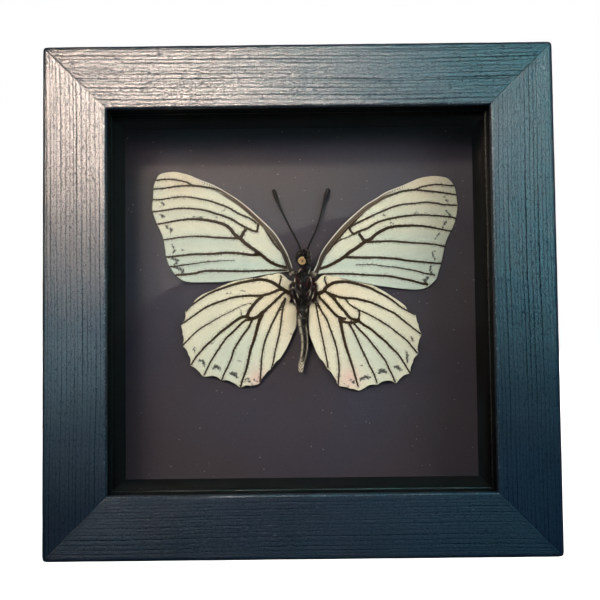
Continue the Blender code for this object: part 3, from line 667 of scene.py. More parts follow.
HINDWING_LEFT = {
    "outline": [
        (-2.6, -4.0), (-3.6, -3.1), (-4.7, -1.9), (-5.9, -1.3), (-7.3, -0.9), (-9.6, -1.6), (-12.6, -2.4),
        (-14.9, -2.6), (-17.2, -2.9), (-19.5, -3.4), (-22.7, -4.6), (-25.3, -5.8), (-27.6, -6.7),
        (-29.4, -7.9), (-31.0, -9.6), (-32.6, -11.4), (-33.0, -13.0), (-33.5, -14.4), (-34.0, -15.8),
        (-33.8, -17.4), (-33.5, -19.0), (-33.4, -20.9), (-32.9, -22.0), (-32.2, -23.4), (-31.6, -25.0),
        (-31.3, -26.4), (-29.9, -27.8), (-28.7, -28.9), (-27.7, -29.7), (-26.4, -29.8), (-25.0, -29.7),
        (-23.6, -30.2), (-22.7, -30.6), (-21.3, -30.9), (-19.9, -31.5), (-18.8, -32.2), (-17.4, -32.6),
        (-16.0, -32.4), (-14.4, -32.5), (-12.8, -32.0), (-12.0, -31.0), (-10.7, -29.6), (-9.1, -27.6),
        (-7.7, -26.2), (-6.1, -24.1), (-4.7, -21.8), (-3.6, -19.5), (-2.9, -17.7), (-2.1, -16.1),
        (-1.9, -13.8), (-1.9, -11.5), (-2.1, -9.6), (-2.3, -7.3),
    ],
    "veins": [
        (0.50, 0.40, [(-6.6, -4.9), (-6.5, -4.0), (-6.1, -2.6), (-6.2, -1.9)]),
        (1.50, 0.90, [(-2.5, -6.8), (-4.0, -6.6), (-5.6, -5.8)]),
        (0.95, 0.40, [
            (-5.7, -5.6), (-7.0, -4.7), (-8.4, -3.8), (-10.3, -3.1), (-12.1, -2.9), (-14.9, -3.3),
            (-17.6, -3.8), (-19.9, -4.4), (-22.3, -5.2), (-24.6, -6.0), (-26.9, -7.1), (-29.2, -8.6),
            (-31.0, -9.9), (-32.4, -11.4),
        ]),
        (0.75, 0.42, [
            (-5.2, -5.7), (-6.8, -5.8), (-8.4, -6.5), (-10.3, -7.1), (-12.6, -7.4), (-14.9, -7.3),
            (-17.2, -7.5), (-19.5, -7.8), (-21.8, -8.5), (-24.6, -9.4), (-26.9, -10.4), (-29.2, -11.9),
            (-31.5, -13.5), (-33.8, -15.0),
        ]),
        (0.16, 0.42, [
            (-14.4, -9.4), (-16.0, -9.7), (-18.1, -10.6), (-20.6, -11.9), (-22.9, -13.0), (-25.3, -14.4),
            (-27.6, -15.7), (-29.9, -17.3), (-31.9, -19.3), (-33.4, -20.8),
        ]),
        (0.80, 0.95, [
            (-11.2, -7.5), (-12.6, -8.6), (-13.7, -9.8), (-14.9, -11.4), (-15.3, -12.3), (-15.6, -13.0),
        ]),
        (0.85, 0.40, [
            (-15.6, -13.0), (-17.2, -13.3), (-18.6, -14.1), (-19.9, -15.1), (-21.8, -16.5), (-23.6, -17.9),
            (-25.5, -19.7), (-26.9, -20.9), (-28.2, -22.3), (-29.6, -23.9), (-31.1, -26.1),
        ]),
        (0.18, 0.12, [(-17.2, -12.9), (-17.2, -11.3)]),
        (0.62, 0.40, [
            (-14.9, -14.0), (-16.3, -14.3), (-17.6, -15.4), (-19.5, -17.3), (-21.3, -18.9), (-22.0, -19.8),
            (-23.2, -21.5), (-24.6, -23.6), (-26.0, -25.9), (-27.6, -29.1),
        ]),
        (0.62, 0.40, [
            (-14.4, -14.4), (-15.3, -16.3), (-16.7, -18.1), (-18.1, -20.2), (-19.3, -22.2), (-20.0, -24.5),
            (-21.1, -26.9), (-22.0, -28.7), (-22.7, -30.4),
        ]),
        (0.90, 0.90, [(-15.6, -13.2), (-14.2, -13.7), (-12.8, -13.2), (-11.7, -12.3), (-10.5, -11.4)]),
        (0.70, 0.75, [(-5.2, -6.6), (-6.1, -7.3), (-8.0, -9.1), (-9.8, -10.7), (-11.2, -11.9)]),
        (0.95, 0.48, [
            (-11.4, -12.6), (-12.4, -14.9), (-13.0, -17.0), (-13.7, -19.5), (-14.7, -22.3), (-15.3, -25.0),
            (-16.0, -27.8), (-17.0, -30.5), (-17.5, -32.4),
        ]),
        (0.55, 0.42, [
            (-5.0, -8.2), (-6.1, -10.1), (-7.5, -12.8), (-8.7, -15.1), (-9.8, -17.6), (-10.7, -19.9),
            (-11.4, -22.7), (-11.7, -25.0), (-11.9, -28.0), (-12.2, -31.2),
        ]),
        (0.50, 0.38, [
            (-4.9, -8.4), (-5.7, -11.0), (-6.1, -13.7), (-6.6, -17.2), (-7.3, -20.2), (-8.0, -23.0),
            (-8.4, -25.3), (-9.0, -27.4),
        ]),
    ],
    "marks": [
        (0.24, [(-30.3, -21.3), (-30.1, -22.9)]),
        (0.41, [(-29.1, -25.2), (-28.0, -25.2), (-27.5, -26.5)]),
        (0.51, [(-25.1, -27.2), (-24.2, -26.7), (-23.3, -27.5)]),
        (0.56, [(-20.4, -28.8), (-19.4, -28.8), (-18.4, -29.8)]),
        (0.38, [(-16.4, -30.8), (-15.7, -30.3), (-15.1, -30.9)]),
        (0.25, [(-13.8, -30.5), (-13.2, -31.0)]),
        (0.10, [(-14.5, -31.6), (-14.5, -32.3)]),
        (0.12, [(-18.1, -25.3), (-17.3, -25.5)]),
        (0.10, [(-17.2, -5.9), (-16.2, -6.1)]),
        (0.10, [(-21.3, -6.7), (-19.9, -6.5)]),
        (0.12, [(-25.5, -20.4), (-24.9, -20.1)]),
        (0.10, [(-4.1, -17.9), (-3.2, -18.0)]),
    ],
    "scallop": HINDWING_SCALLOP,
}
HINDWING_RIGHT = {
    "outline": [
        (2.6, -4.2), (3.3, -3.6), (4.1, -2.5), (5.1, -1.8), (6.8, -1.7), (9.1, -2.1), (10.7, -2.9),
        (13.0, -3.5), (15.3, -4.0), (17.6, -4.5), (19.2, -4.9), (20.8, -5.7), (22.6, -6.7), (24.5, -8.0),
        (26.3, -9.2), (27.7, -10.3), (29.0, -11.5), (30.4, -12.7), (31.3, -13.8), (31.7, -15.0),
        (32.1, -16.3), (32.3, -17.7), (32.4, -19.3), (31.9, -21.2), (31.6, -22.6), (31.3, -24.2),
        (30.5, -25.5), (30.0, -26.9), (29.3, -28.6), (28.8, -29.5), (27.4, -30.2), (26.5, -31.0),
        (25.3, -31.9), (24.2, -31.6), (22.8, -31.5), (21.4, -31.8), (20.0, -32.4), (18.4, -32.6),
        (17.0, -32.9), (15.8, -33.5), (14.9, -33.8), (13.5, -33.4), (11.7, -33.2), (10.1, -32.9),
        (9.3, -32.3), (8.0, -30.4), (6.7, -28.3), (5.1, -26.2), (3.5, -23.4), (2.4, -20.6), (1.6, -18.3),
        (1.4, -16.5), (1.3, -14.7), (1.4, -12.8), (1.6, -11.0), (1.9, -9.1), (2.2, -7.0),
    ],
    "veins": [
        (0.50, 0.40, [(6.6, -4.8), (6.2, -3.9), (5.9, -2.95), (6.05, -2.3)]),
        (1.50, 0.90, [(2.5, -7.1), (4.2, -6.9), (6.0, -6.2)]),
        (0.95, 0.40, [
            (5.8, -5.9), (6.7, -5.0), (8.3, -4.1), (10.2, -3.8), (12.0, -3.8), (13.9, -4.2), (16.2, -4.8),
            (18.5, -5.6), (20.3, -6.6), (22.1, -7.5), (24.5, -9.0), (26.7, -10.8), (28.6, -11.9),
            (30.6, -13.1),
        ]),
        (0.75, 0.42, [
            (6.0, -6.4), (7.4, -7.1), (9.2, -7.8), (11.5, -8.3), (13.8, -8.4), (16.1, -8.9), (18.4, -9.5),
            (20.7, -10.5), (23.0, -11.6), (25.3, -12.8), (27.6, -14.7), (29.9, -16.6), (32.2, -18.4),
        ]),
        (0.42, 0.42, [
            (11.5, -8.4), (12.4, -9.7), (13.8, -10.8), (15.2, -11.6), (17.0, -12.4), (19.3, -13.6),
            (21.6, -15.0), (23.9, -16.5), (26.2, -18.4), (28.2, -20.0), (29.8, -21.9), (31.2, -23.6),
        ]),
        (0.75, 0.80, [
            (6.7, -6.8), (8.3, -8.3), (9.9, -10.4), (11.5, -12.2), (12.6, -13.6), (13.8, -14.2),
            (15.2, -14.4),
        ]),
        (0.48, 0.55, [(15.2, -11.6), (15.4, -12.8), (15.1, -14.4)]),
        (0.75, 0.40, [
            (15.1, -14.6), (16.5, -15.7), (18.6, -17.0), (20.6, -18.8), (22.5, -20.4), (24.3, -22.3),
            (25.7, -23.7), (27.0, -25.5), (28.2, -27.6), (29.1, -29.0),
        ]),
        (0.55, 0.40, [
            (14.0, -15.5), (15.6, -17.3), (17.4, -19.2), (19.2, -21.5), (21.0, -23.8), (22.4, -25.7),
            (23.3, -27.8), (24.2, -29.6), (25.0, -31.5),
        ]),
        (0.55, 0.40, [
            (12.4, -15.2), (13.7, -17.5), (14.8, -19.9), (16.0, -22.6), (17.1, -24.9), (18.0, -27.0),
            (19.1, -29.1), (20.0, -31.7),
        ]),
        (0.70, 0.80, [(10.1, -14.3), (11.4, -14.9), (13.3, -15.1), (15.0, -14.7)]),
        (0.70, 0.75, [(4.4, -8.0), (5.7, -9.4), (7.2, -11.1), (8.8, -12.9), (10.1, -13.7), (11.4, -14.0)]),
        (0.90, 0.45, [
            (9.9, -14.1), (10.3, -15.7), (10.8, -18.3), (11.6, -21.7), (12.7, -25.2), (13.8, -28.9),
            (14.7, -32.5),
        ]),
        (0.50, 0.42, [
            (3.9, -9.6), (5.0, -11.9), (6.4, -14.2), (7.3, -16.8), (8.2, -19.3), (9.0, -22.1), (9.4, -25.1),
            (9.6, -28.1), (9.3, -32.0),
        ]),
        (0.42, 0.38, [
            (3.4, -9.6), (3.9, -12.8), (4.4, -15.6), (4.9, -18.1), (5.5, -21.1), (6.1, -24.4), (6.6, -27.4),
        ]),
    ],
    "marks": [
        (0.38, [(28.2, -23.2), (28.5, -24.6), (28.4, -26.2)]),
        (0.54, [(25.0, -27.4), (25.8, -27.6), (26.6, -28.3)]),
        (0.59, [(20.4, -28.9), (21.4, -28.4), (22.6, -28.9)]),
        (0.52, [(15.5, -30.8), (16.8, -30.1), (18.1, -30.3)]),
        (0.34, [(12.6, -30.9), (13.1, -31.1), (13.8, -31.6)]),
        (0.16, [(10.7, -31.6), (11.1, -31.8)]),
        (0.10, [(11.9, -32.3), (11.9, -33.0)]),
        (0.33, [(29.6, -19.2), (30.2, -20.3)]),
        (0.12, [(15.4, -26.9), (16.0, -27.1)]),
    ],
    "scallop": HINDWING_SCALLOP,
}  # fmt: skip


def smooth_line(points, step, closed=False):
    """Evenly spaced points on a smooth curve through the given ones."""
    points = np.array(points, float)
    if closed:
        around = np.concatenate([points[-1:], points, points[:2]])
    else:
        around = np.concatenate([2 * points[:1] - points[1:2], points, 2 * points[-1:] - points[-2:-1]])
    t = np.arange(12)[:, None] / 12
    pieces = []
    for a, b, c, d in zip(around, around[1:], around[2:], around[3:]):
        cubic = (2 * a - 5 * b + 4 * c - d) * t**2 + (3 * b - a - 3 * c + d) * t**3
        pieces.append(0.5 * (2 * b + (c - a) * t + cubic))
    dense = np.concatenate(pieces + [points[:1] if closed else points[-1:]])
    length = np.concatenate([[0], np.cumsum(np.linalg.norm(np.diff(dense[:, :3], axis=0), axis=1))])
    even = np.linspace(0, length[-1], max(3, round(length[-1] / step) + 1))
    line = np.stack([np.interp(even, length, column) for column in dense.T], 1)
    return line[:-1] if closed else line


def nearest(points, line):
    """For each point, its distance to a line, and how far along the line that is, from 0 to 1."""
    step = np.diff(line, axis=0)
    towards = points[:, None, :] - line[None, :-1]
    share = np.clip((towards * step).sum(2) / (step**2).sum(1), 0, 1)
    squared = ((towards - share[..., None] * step) ** 2).sum(2)
    best = squared.argmin(1)
    row = np.arange(len(points))
    return np.sqrt(squared[row, best]), (best + share[row, best]) / len(step)


def inside(points, ring):
    """Whether each point is inside a closed ring, by counting the sides that a ray to the right crosses."""
    x, z = points[:, 0, None], points[:, 1, None]
    (ax, az), (bx, bz) = ring.T, np.roll(ring, -1, 0).T
    crosses = (az > z) != (bz > z)
    with np.errstate(divide="ignore", invalid="ignore"):
        at = ax + (z - az) / (bz - az) * (bx - ax)
    return (crosses & (x < at)).sum(1) % 2 == 1


def flat_wing(outline, veins, scallop):
    """A fine triangle mesh of the wing, whose edges follow the middle and both sides of every vein."""
    ring = smooth_line(outline, WING_CELL, closed=True)
    if scallop:
        # The margin is drawn in between one vein's end and the next, and stands out a little at the ends.
        ends = np.array([route[-1] for _, _, route in veins])
        ends = ends[nearest(ends, np.concatenate([ring, ring[:1]]))[0] < VEIN_END_REACH]
        to_end = np.sqrt(((ring[:, None] - ends[None]) ** 2).sum(2)).min(1)
        ahead = np.roll(ring, -1, 0) - np.roll(ring, 1, 0)
        out = np.stack([ahead[:, 1], -ahead[:, 0]], 1) / np.linalg.norm(ahead, axis=1)[:, None]
        out *= np.sign((out * (ring - ring.mean(0))).sum())
        drawn = np.clip(to_end / 1.5, 0, 1) * np.clip(3.4 - to_end, 0, 1)
        ring = ring + out * scallop * (0.4 * np.clip(1 - to_end, 0, 1) - drawn)[:, None]
    closed_ring = np.concatenate([ring, ring[:1]])
    places = [ring]
    edges = [(i, (i + 1) % len(ring)) for i in range(len(ring))]
    columns = np.arange(ring[:, 0].min(), ring[:, 0].max(), WING_CELL * 1.1)
    rows = np.arange(ring[:, 1].min(), ring[:, 1].max(), WING_CELL * 0.95)
    x, z = np.meshgrid(columns, rows)
    x[1::2] += WING_CELL * 0.55
    fill = np.stack([x.ravel(), z.ravel()], 1)
    fill = fill[inside(fill, ring)]
    fill = fill[nearest(fill, closed_ring)[0] > WING_CELL * 0.6]
    total = len(ring)
    for start, end, route in veins:
        middle = smooth_line(route, WING_CELL)
        ahead = np.gradient(middle, axis=0)
        across = np.stack([-ahead[:, 1], ahead[:, 0]], 1) / np.linalg.norm(ahead, axis=1)[:, None]
        half = np.linspace(start, end, len(middle))[:, None] / 2
        for side in (-1, 0, 1):
            line = middle + side * half * across
            kept = inside(line, ring) & (nearest(line, closed_ring)[0] > WING_CELL * 0.4)
            numbers = np.cumsum(kept) - 1 + total
            edges += [(numbers[i], numbers[i + 1]) for i in range(len(line) - 1) if kept[i] and kept[i + 1]]
            places.append(line[kept])
            total += int(kept.sum())
        away, share = nearest(fill, middle)
        from_side = np.abs(away - (start + (end - start) * share) / 2)
        fill = fill[np.minimum(away, from_side) > WING_CELL * 0.5]
    places = np.concatenate(places + [fill])
    edges = [(int(a), int(b)) for a, b in edges]
    made = delaunay_2d_cdt([Vector(p) for p in places], edges, [list(range(len(ring)))], 1, 1e-4, False)
    flat = np.array([tuple(v) for v in made[0]])
    faces = np.array([tuple(f) for f in made[2]])
    # Triangles that bridge a hollow in the margin are left out.
    faces = faces[inside(flat[faces].mean(1), ring)]
    return flat, [tuple(int(v) for v in face) for face in faces], closed_ring


def wing(name, plan, surface, finish):
    """One wing. The surface gives, at each place, its camber in mm and three soft tints from 0 to 1."""
    low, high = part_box(name)
    flat, faces, ring = flat_wing(plan["outline"], plan["veins"], plan.get("scallop", 0.0))
    count = len(flat)
    vein_edge = np.full(count, FAR)
    ridge = np.zeros(count)
    for start, end, route in plan["veins"]:
        away, share = nearest(flat, smooth_line(route, WING_CELL))
        half = (start + (end - start) * share) / 2
        vein_edge = np.minimum(vein_edge, away - half)
        height = VEIN_HEIGHT[0] + VEIN_HEIGHT[1] * half
        ridge = np.maximum(ridge, height * np.clip(1 - (away / half) ** 2, 0, 1))
    margin = nearest(flat, ring)[0]
    mark_edge = np.full(count, FAR)
    for half, route in plan["marks"]:
        away, share = nearest(flat, smooth_line(route, 0.1))
        mark_edge = np.minimum(mark_edge, away - half * (1 - 0.45 * np.abs(2 * share - 1) ** 2))
    costal = np.zeros((count, 3))
    if "costa" in plan:
        edge_line = smooth_line(plan["outline"][: plan["costa"]], WING_CELL)
        away, share = nearest(flat, edge_line)
        length = np.linalg.norm(np.diff(edge_line, axis=0), axis=1).sum()
        fade = np.interp(share, [0, 0.62, 0.76, 0.93, 1.0], [1.0, 1.0, 0.55, 0.10, 0.0])
        costal = np.stack([fade, away, share * length], 1)

    # The membrane sags a little between its veins, and the margin is thin.
    sag = WING_SAG * (1 - np.exp(-np.maximum(vein_edge, 0) / 0.9)) * (1 - np.exp(-margin / 0.8))
    camber, tints = surface(flat[:, 0], flat[:, 1])
    reach = np.abs(flat[:, 0])
    droop = (high.y - low.y) / MM - CAD_WING_THICKNESS
    depth = (low.y - FRONT) / MM + droop * (reach - reach.min()) / np.ptp(reach)
    front = depth + WING_LIFT + camber + sag - ridge
    back = depth + WING_LIFT + camber + sag + MEMBRANE
    x = ROOTS_X + flat[:, 0] * MM
    z = ROOTS_Z + flat[:, 1] * MM
    verts = np.concatenate([np.stack([x, FRONT + depth * MM, z], 1) for depth in (front, back)])
    directed = {(f[i], f[(i + 1) % 3]) for f in faces for i in range(3)}
    rim = [(a, b) for a, b in directed if (b, a) not in directed]
    faces = faces + [(c + count, b + count, a + count) for a, b, c in faces]
    faces += [(b, a, a + count, b + count) for a, b in sorted(rim)]
    angle = np.arctan2(flat[:, 1], np.abs(flat[:, 0]))
    fan = np.stack([angle * 18, np.hypot(flat[:, 0], flat[:, 1]), np.zeros(count)], 1)
    fields = {"vein_edge": vein_edge, "margin": margin, "mark_edge": mark_edge}
    fields.update({"costal": costal, "tints": tints, "fan": fan})
    fields = {key: np.concatenate([value, value]) for key, value in fields.items()}
    obj = mesh_object("veined_" + name, verts, faces, finish, fields)
    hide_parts(name)
    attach(obj, "root")


def soft_edge_group():
    """A mask for what lies within an edge, from the distance to that edge in mm, ragged by a noise."""
    inputs = {"Distance": 1.0, "Vector": None, "Softness": 0.1, "Raggedness": 0.2, "Grain": 6.0}
    group, given, result = new_group("scaly edge", inputs, {"Mask": "Float"})
    rough = noise(group, given["Vector"], given["Grain"], 3.0, 0.6)
    shift = maths(group, "MULTIPLY", maths(group, "SUBTRACT", rough, 0.5), given["Raggedness"])
    moved = maths(group, "ADD", given["Distance"], shift)
    share = maths(group, "DIVIDE", moved, given["Softness"])
    group.links.new(step_up(group, share, 0.5, -0.5), result["Mask"])
    return group


def scale_rows_group():
    """Rows of tiny overlapping scales, as a height, with a slight shade from scale to scale."""
    group, given, result = new_group(
        "scale rows", {"Vector": None, "Scales": 7.0}, {"Height": "Float", "Shade": "Float"}
    )
    cells = add_node(group, "ShaderNodeTexVoronoi", {"Vector": given["Vector"], "Scale": given["Scales"]})
    pick = add_node(group, "ShaderNodeSeparateColor", {0: cells.outputs["Color"]}).outputs
    group.links.new(maths(group, "SUBTRACT", 1.0, cells.outputs["Distance"]), result["Height"])
    group.links.new(pick[0], result["Shade"])
    return group


scaly_edge = soft_edge_group()
scale_rows = scale_rows_group()
CREAM = (0.79, 0.745, 0.54)
MINT = (0.535, 0.62, 0.515)
PINK = (0.78, 0.47, 0.42)
PEACH = (0.78, 0.645, 0.42)
DARK_DUST = (0.09, 0.075, 0.05)
MARGIN_BROWN = (0.10, 0.045, 0.022)
MARK_GREY = (0.022, 0.024, 0.022)
VEIN_DARK = (0.0090, 0.0042, 0.0010)
VEIN_BROWN = (0.042, 0.0210, 0.0060)
BAND_PALE = (0.150, 0.105, 0.062)
BAND_DARK = (0.011, 0.006, 0.003)
ROOT_BAND_DARK = (0.010, 0.006, 0.003)
ROOT_BAND_PALE = (0.16, 0.13, 0.10)
FRONT_RIM_PALE = (0.66, 0.60, 0.53)
FRONT_RIM_DARK = (0.05, 0.03, 0.018)


def wing_scales():
    made, tree, shader = new_material("wing scales")
    place = place_in_mm(tree)
    tint = add_node(tree, "ShaderNodeSeparateXYZ", {0: attribute(tree, "tints", "Vector")}).outputs
    colour = blend(tree, tint[0], CREAM, MINT)
    colour = blend(tree, tint[1], colour, PINK)
    colour = blend(tree, tint[2], colour, PEACH)

    # Shade drifts from scale to scale, in faint rays from the root and in soft clouds.
    rays = noise(tree, stretched(tree, attribute(tree, "fan", "Vector"), 1.0, 0.10, 1.0), 2.2, 3.0, 0.6)
    clouds = noise(tree, place, 0.22, 3.0, 0.55)
    rows = use_group(tree, scale_rows, Vector=stretched(tree, place, 1.0, 1.0, 0.6), Scales=6.5)
    shade = weighed(tree, 0.73, (rays, 0.20), (clouds, 0.22), (rows["Shade"], 0.10))
    colour = add_node(tree, "ShaderNodeVectorMath", {0: colour, 3: shade}, operation="SCALE").outputs[0]

    # Dark scales are dusted along the veins, along the margin and, thinly, everywhere.
    vein_edge = attribute(tree, "vein_edge")
    margin = attribute(tree, "margin")
    pepper = noise(tree, place, 2.9, 3.0, 0.7)
    near_vein = step_up(tree, vein_edge, 0.85, 0.0)
    dusted = maths(tree, "MULTIPLY", near_vein, step_up(tree, pepper, 0.48, 0.60))
    stray = maths(tree, "MULTIPLY", step_up(tree, pepper, 0.62, 0.74), 0.28)
    dusted = maths(tree, "MAXIMUM", maths(tree, "MULTIPLY", dusted, 0.75), stray)

    def edge_mask(distance, softness, raggedness, grain):
        return use_group(
            tree, scaly_edge, Distance=distance, Vector=place, Softness=softness, Raggedness=raggedness,
            Grain=grain,
        )["Mask"]  # fmt: skip

    rim = edge_mask(maths(tree, "SUBTRACT", margin, 0.05), 0.16, 0.22, 2.4)
    vein = edge_mask(maths(tree, "SUBTRACT", vein_edge, 0.02), 0.10, 0.44, 3.8)
    mark = edge_mask(attribute(tree, "mark_edge"), 0.55, 1.9, 1.7)

    # The front edge of a forewing has a pale rim, and inside it a brown band with fine lines along it. What
    # the costal attribute holds is how much of a front edge it is, mm in from that edge and mm along it.
    costal = add_node(tree, "ShaderNodeSeparateXYZ", {0: attribute(tree, "costal", "Vector")}).outputs
    share, depth, along = costal[0], costal[1], costal[2]
    on_costa = step_up(tree, share, 0.0, 0.06)
    drift = {0: depth, 1: maths(tree, "MULTIPLY", along, 0.35)}
    drifted = noise(tree, add_node(tree, "ShaderNodeCombineXYZ", drift).outputs[0], 0.8, 2.0)
    wave = weighed(tree, 0.0, (depth, 12.0), (drifted, 3.0))
    lines = step_up(tree, maths(tree, "SINE", wave), -0.35, 0.45)
    band = maths(tree, "MULTIPLY", step_up(tree, depth, 1.65, 1.35), step_up(tree, depth, 0.30, 0.42))
    band = maths(tree, "MULTIPLY", band, step_up(tree, share, 0.25, 0.75))
    hatch = weighed(tree, 0.0, (along, 8.5), (depth, 5.0))
    hatch = maths(tree, "MULTIPLY", step_up(tree, maths(tree, "SINE", hatch), -0.1, 0.7), 0.85)
    hatched = maths(tree, "MULTIPLY", step_up(tree, share, 0.05, 0.30), step_up(tree, share, 0.95, 0.60))
    hatched = maths(tree, "MULTIPLY", hatched, step_up(tree, depth, 0.95, 0.65))
    hatched = maths(tree, "MULTIPLY", hatched, hatch)
    band = maths(tree, "MAXIMUM", band, hatched)
    band_colour = blend(tree, lines, BAND_PALE, BAND_DARK)
    by_root = step_up(tree, along, 15.0, 5.0)
    root_lines = step_up(tree, maths(tree, "SINE", maths(tree, "MULTIPLY", depth, 11.0)), 0.75, 0.98)
    root_colour = blend(tree, root_lines, ROOT_BAND_DARK, ROOT_BAND_PALE)
    band_colour = blend(tree, maths(tree, "MULTIPLY", by_root, 0.9), band_colour, root_colour)
    dark_edge = maths(tree, "MULTIPLY", step_up(tree, depth, 0.12, 0.06), on_costa)
    past_rim = maths(tree, "SUBTRACT", depth, weighed(tree, 0.40, (by_root, -0.12)))
    pale_rim = maths(tree, "MULTIPLY", step_up(tree, past_rim, 0.04, -0.06), on_costa)

    colour = blend(tree, dusted, colour, DARK_DUST)
    colour = blend(tree, maths(tree, "MULTIPLY", rim, 0.80), colour, MARGIN_BROWN)
    colour = blend(tree, maths(tree, "MULTIPLY", mark, 0.94), colour, MARK_GREY)
    colour = blend(tree, vein, colour, blend(tree, noise(tree, place, 1.4, 2.0), VEIN_DARK, VEIN_BROWN))
    colour = blend(tree, band, colour, band_colour)
    colour = blend(tree, maths(tree, "MULTIPLY", pale_rim, 0.88), colour, FRONT_RIM_PALE)
    colour = blend(tree, dark_edge, colour, FRONT_RIM_DARK)
    rough = weighed(tree, 0.62, (vein, -0.14))
    sheen = weighed(tree, 0.22, (vein, -0.14))
    normal = bump(tree, rows["Height"], 0.022)
    connect(tree, shader, Base_Color=colour, Roughness=rough, Specular_IOR_Level=sheen, Normal=normal)
    return made


def hill(x, z, middle, reach):
    """A round soft patch of 1 at its middle."""
    return np.exp(-((x - middle[0]) ** 2 + (z - middle[1]) ** 2) / reach**2)


def forewing_surface(x, z):
    """Mint towards the inner margin, peach at the tip, and a slight hollow behind the front edge."""
    reach = np.abs(x)
    mint = 0.30 + 0.62 * np.clip((12.0 - z) / 11.0, 0, 1) ** 0.7
    mint = mint + 0.20 * np.clip(np.sin(z * 0.9 + 0.4), 0, 1)
    mint = mint * (1 - 0.5 * hill(reach, z, (13, 8), 5)) * (1 - 0.9 * hill(reach, z, (34, 27), 7))
    blush = 0.22 * hill(reach, z, (34, 27), 6)
    warm = 0.40 * hill(reach, z, (33, 26), 7) + 0.15 * hill(reach, z, (8, 5), 4)
    camber = 0.10 * np.sin(z / 7.0) - 0.15 * hill(reach, z, (24, 8), 10)
    return camber, np.clip(np.stack([mint, blush, warm], 1), 0, 1)


def hindwing_surface(x, z):
    """Cream, warmer by the body, greenish low in the middle and pink at the inner corner."""
    reach = np.abs(x)
    mint = 0.16 + 0.55 * hill(reach, z, (21, -25), 8.5) + 0.30 * hill(reach, z, (14, -19), 5)
    blush = 0.62 * hill(reach, z, (12.5, -30.5), 3.0) + 0.10 * hill(reach, z, (5, -18), 4)
    warm = 0.70 * hill(reach, z, (4.5, -10), 7.0) + 0.30 * hill(reach, z, (12, -6), 8)
    camber = -0.25 * hill(reach, z, (17, -16), 10) + 0.2 * hill(reach, z, (5, -22), 5)
    return camber, np.clip(np.stack([mint, blush, warm], 1), 0, 1)


scales = wing_scales()
wing("forewing_left", FOREWING_LEFT, forewing_surface, scales)
wing("forewing_right", FOREWING_RIGHT, forewing_surface, scales)
wing("hindwing_left", HINDWING_LEFT, hindwing_surface, scales)
wing("hindwing_right", HINDWING_RIGHT, hindwing_surface, scales)


# ---------------------------------------------------------------------------------------------------------
# Body. Thorax, head and abdomen are hard shells under dark hair and lying scales, dried black-brown, with
# white hair by the wing roots. The tail end has shrunk and shows pale along its folds.
# ---------------------------------------------------------------------------------------------------------

THORAX_MIDDLE = (0.0, -4.9, 19.3)
THORAX_HALF = (2.55, 4.85, 2.35)
HEAD_MIDDLE = (0.15, 2.4, 18.7)
HEAD_HALF = (1.25, 1.75, 1.35)
EYE_RADIUS = 0.92
# Places along the abdomen: mm right, mm up, mm back and radius.
ABDOMEN = [
    (-0.3, -9.6, 19.5, 0.9), (-0.4, -11.2, 19.4, 1.45), (-0.45, -13.4, 19.3, 1.5),
    (-0.3, -15.8, 19.3, 1.22), (0.1, -18.6, 19.2, 1.05), (0.15, -21.4, 19.2, 0.98),
    (-0.2, -23.8, 19.3, 0.86), (-0.75, -26.2, 19.5, 0.74), (-0.95, -28.6, 19.6, 0.5),
]  # fmt: skip
SEGMENT = 2.15
TAIL_FROM = 14.5
HINGE_TUFTS = ((-2.7, -1.1), (-3.3, -1.6), (2.6, -1.2), (3.2, -1.7))
# How many hairs each coat has, before those are left out that would stand where there are none.
THORAX_HAIRS = 5200
LONG_HAIRS = 2600
TUFT_HAIRS = 70
HEAD_HAIRS = 2600
ABDOMEN_HAIRS = 3000
HAIR_POINTS = 7
HAIR_FACES = ((0, 2, 1), (0, 1, 4, 3), (1, 2, 5, 4), (2, 0, 3, 5), (3, 4, 6), (4, 5, 6), (5, 3, 6))


def in_frame(places):
    """Points in metres, from mm to the right and up from the wing roots and mm back from the rails' front."""
    return np.stack([ROOTS_X + places[:, 0] * MM, FRONT + places[:, 2] * MM, ROOTS_Z + places[:, 1] * MM], 1)


def grid_faces(rings, sides):
    """Faces of a tube of rings, with an end face on each end."""
    faces = []
    for i in range(rings - 1):
        for j in range(sides):
            k = (j + 1) % sides
            faces.append((i * sides + j, i * sides + k, (i + 1) * sides + k, (i + 1) * sides + j))
    faces.append(list(range(sides))[::-1])
    faces.append([(rings - 1) * sides + j for j in range(sides)])
    return faces


def ellipsoid(middle, half, rings, sides):
    """Points and faces of an ellipsoid with its poles at top and bottom, and the way out of each point."""
    tilt = np.linspace(0.04, np.pi - 0.04, rings)[:, None]
    turn = np.linspace(0, 2 * np.pi, sides, endpoint=False)[None, :]
    ball = np.stack([np.sin(tilt) * np.cos(turn), np.cos(tilt) + 0 * turn, np.sin(tilt) * np.sin(turn)], -1)
    ball = ball.reshape(-1, 3)
    return ball * half + middle, grid_faces(rings, sides), ball


